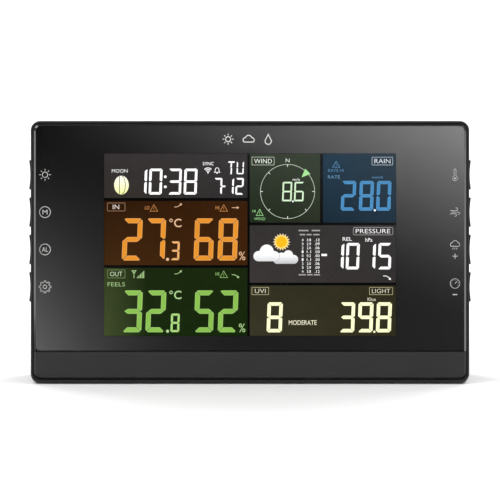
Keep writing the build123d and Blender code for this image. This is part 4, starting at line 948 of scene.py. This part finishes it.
# ---- The lens, with its bevelled edge polished over black ----
LENS_OFF_MASK = 0.008       # keeps its rear face off the printed film, in millimetres
lens_edge = surface("lens_edge", (0.006, 0.006, 0.006), 0.1, uneven=0.03, grain=1.2, height=0.0004)
cad_lens = frame["nodes"]["front_lens"]
lens = bpy.data.objects.new("lens", cad_lens.data.copy())
bpy.context.scene.collection.objects.link(lens)
lens.data.materials.clear()
lens.data.materials.append(finishes["lens_clear"])
lens.data.materials.append(lens_edge)
for polygon in lens.data.polygons:
    polygon.material_index = 0 if abs(polygon.normal.dot(BACK)) > 0.98 else 1
behind = depths("front_lens")[1] - 0.01
for vertex in lens.data.vertices:
    if vertex.co.dot(BACK) / MM - LENS_FRONT > behind:
        vertex.co -= BACK * LENS_OFF_MASK * MM
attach(lens, "case")
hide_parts("front_lens")

make_tiles()
make_clock()
make_indoor()
make_outdoor()
make_wind()
make_rain()
make_forecast()
make_pressure()
make_light()
make_key_symbols(print_white)
make_front_glyphs(print_bright)
make_rear_marks(print_grey)

# ---- Floor ----
FLOOR_HALF = 12.0           # in metres
floor_mesh = bpy.data.meshes.new("floor")
floor_corners = [(-FLOOR_HALF, -FLOOR_HALF, 0), (FLOOR_HALF, -FLOOR_HALF, 0),
                 (FLOOR_HALF, FLOOR_HALF, 0), (-FLOOR_HALF, FLOOR_HALF, 0)]
floor_mesh.from_pydata(floor_corners, [], [[0, 1, 2, 3]])
floor = bpy.data.objects.new("floor", floor_mesh)
bpy.context.scene.collection.objects.link(floor)
floor_paper = surface("floor_paper", (0.82, 0.82, 0.82), 0.9, drift=0.01, grain=2.0, height=0.01)
floor_mesh.materials.append(floor_paper)

# ---- Camera, square to the face ----
CAMERA_AWAY = 9.0           # in metres
VIEW_W = 219.45             # width of the view at the lens front, in millimetres
SENSOR_W = 36.0             # in millimetres
VIEW_RISE = 0.0039          # shift of the view upwards, as a share of its width
camera_data = bpy.data.cameras.new("camera")
camera_data.sensor_width = SENSOR_W
camera_data.lens = SENSOR_W * CAMERA_AWAY / (VIEW_W * MM)
camera_data.shift_y = VIEW_RISE
camera_data.clip_end = 100.0
camera = bpy.data.objects.new("camera", camera_data)
bpy.context.scene.collection.objects.link(camera)
look_at = place(0, 0, CASE_H / 2)
camera.location = look_at - BACK * CAMERA_AWAY
camera.rotation_euler = BACK.to_track_quat("-Z", "Y").to_euler()
bpy.context.scene.camera = camera


# ---- Lights ----
def area_light(name, location, towards, width, height, radiance, shaded=None):
    """A soft box that the camera doesn't see; shaded draws its brightness across its face."""
    data = bpy.data.lights.new(name, "AREA")
    data.shape = "RECTANGLE"
    data.size, data.size_y = width, height
    data.energy = radiance * pi * width * height
    light = bpy.data.objects.new(name, data)
    bpy.context.scene.collection.objects.link(light)
    light.location = location
    light.rotation_euler = (towards - location).to_track_quat("-Z", "Y").to_euler()
    light.visible_camera = False
    if shaded:
        data.use_nodes = True
        tree = data.node_tree
        emission = tree.nodes["Emission"]
        link(tree, shaded(tree), emission.inputs["Strength"])


CARD_AWAY = 0.6             # in metres
CARD_SCALE = 1 + CARD_AWAY / CAMERA_AWAY        # how much larger the face's mirror image is there
CARD_MARGIN = 1.15
CARD_W = CASE_W * MM * CARD_SCALE * CARD_MARGIN
CARD_H = CASE_H * MM * CARD_SCALE * CARD_MARGIN
PATTERN_LOW = 0.14          # the pattern's ends, as shares of the case's height from its bottom and top
PATTERN_HIGH = 0.03
TOP_RIGHT_GLOW = 6.4
TOP_RIGHT_FALL = 2.0        # power with which this glow fades; LOW_LEFT_FALL likewise
TOP_RIGHT_SLOPE = 0.9
TOP_RIGHT_START = 0.95
LOW_LEFT_GLOW = 2.95
LOW_LEFT_FALL_UP = 1.9
LOW_LEFT_FALL_ACROSS = 6.3
BASE_LEFT = 0.12            # plain brightness at the left, and what it gains towards the right
BASE_GAIN = 0.3


def card_pattern(tree):
    """The studio as the lens mirrors it: bright towards the top right, a glow low at the left."""
    at = add_node(tree, "NewGeometry").outputs["Position"]
    half_w = CASE_W / 2 * MM * CARD_SCALE
    low = (look_at - BACK * CARD_AWAY).dot(UP) - CASE_H / 2 * MM * CARD_SCALE
    high = low + CASE_H * MM * CARD_SCALE
    s = spread(tree, along(tree, at, RIGHT), -half_w, half_w)
    tall = high - low
    t = spread(tree, along(tree, at, UP), low + PATTERN_LOW * tall, high - PATTERN_HIGH * tall)
    down = math(tree, "SUBTRACT", 1.0, t)
    sloped = math(tree, "MULTIPLY", s, TOP_RIGHT_SLOPE)
    reach = math(tree, "ADD", sloped, math(tree, "SUBTRACT", t, TOP_RIGHT_START))
    reach = math(tree, "MAXIMUM", reach, 0.0)
    top_right = math(tree, "MULTIPLY", math(tree, "POWER", reach, TOP_RIGHT_FALL), TOP_RIGHT_GLOW)
    edge = math(tree, "POWER", math(tree, "SUBTRACT", 1.0, s), LOW_LEFT_FALL_ACROSS)
    low_left = math(tree, "MULTIPLY", math(tree, "POWER", down, LOW_LEFT_FALL_UP), edge)
    low_left = math(tree, "MULTIPLY", low_left, LOW_LEFT_GLOW)
    base = math(tree, "ADD", math(tree, "MULTIPLY", s, BASE_GAIN), BASE_LEFT)
    return math(tree, "ADD", math(tree, "ADD", top_right, low_left), base)


# Strips that the chamfers at the panels' sides mirror; their lengths and places are in metres
STRIP_OUT = 0.6
STRIP_AHEAD = 0.22
STRIP_W = 0.12
STRIP_RADIANCE = 4.6
STRIPS = {"left": (-1, 0.034, 0.15), "right": (1, 0.0, 0.2)}        # side, rise and height
# Softboxes over the table, aimed at the scene's origin
SOFTBOX = 0.5
HIGH_SPOTS = {"left": Vector((-0.83, -0.24, 0.9)), "right": Vector((0.9, 0.1, 1.0))}
HIGH_RADIANCE = 7.0
REAR_SPOT = (0.75, 0.8, 1.0)
REAR_RADIANCE = 8.0
ORIGIN = Vector((0, 0, 0))

area_light("front_card", look_at - BACK * CARD_AWAY, look_at, CARD_W, CARD_H, 1.0, card_pattern)
for name, (side, rise, tall) in STRIPS.items():
    spot = look_at + RIGHT * side * STRIP_OUT - BACK * STRIP_AHEAD + UP * rise
    area_light("side_strip_" + name, spot, look_at + UP * rise, STRIP_W, tall, STRIP_RADIANCE)
    area_light("high_softbox_" + name, HIGH_SPOTS[name], ORIGIN, SOFTBOX, SOFTBOX, HIGH_RADIANCE)
    rear = Vector((side * REAR_SPOT[0], REAR_SPOT[1], REAR_SPOT[2]))
    area_light("rear_softbox_" + name, rear, ORIGIN, SOFTBOX, SOFTBOX, REAR_RADIANCE)

# A dome that brightens upwards. It is dark where the face looks, so that the lens mirrors the card
# there, and dimmer straight overhead. The camera sees it white.
world = bpy.data.worlds.new("studio")
bpy.context.scene.world = world
world.use_nodes = True
tree = world.node_tree
background = tree.nodes["Background"]
background.inputs["Color"].default_value = (1, 1, 1, 1)
way = add_node(tree, "TexCoord").outputs["Generated"]
over = math(tree, "MAXIMUM", along(tree, way, (0, 0, 1)), 0.0)
front = spread(tree, along(tree, way, -BACK), cos(radians(55)), cos(radians(28)), smooth=True)
zenith = spread(tree, over, cos(radians(35)), cos(radians(15)), smooth=True)
dome = math(tree, "ADD", math(tree, "MULTIPLY", over, 1.5), 0.14)
dome = math(tree, "MULTIPLY", dome, math(tree, "SUBTRACT", 1.0, front))
dome = math(tree, "MULTIPLY", dome, math(tree, "SUBTRACT", 1.0, math(tree, "MULTIPLY", zenith, 0.75)))
seen = add_node(tree, "LightPath").outputs["Is Camera Ray"]
shown = math(tree, "MAXIMUM", dome, seen)
link(tree, shown, background.inputs["Strength"])

bpy.context.scene.view_settings.view_transform = "Standard"
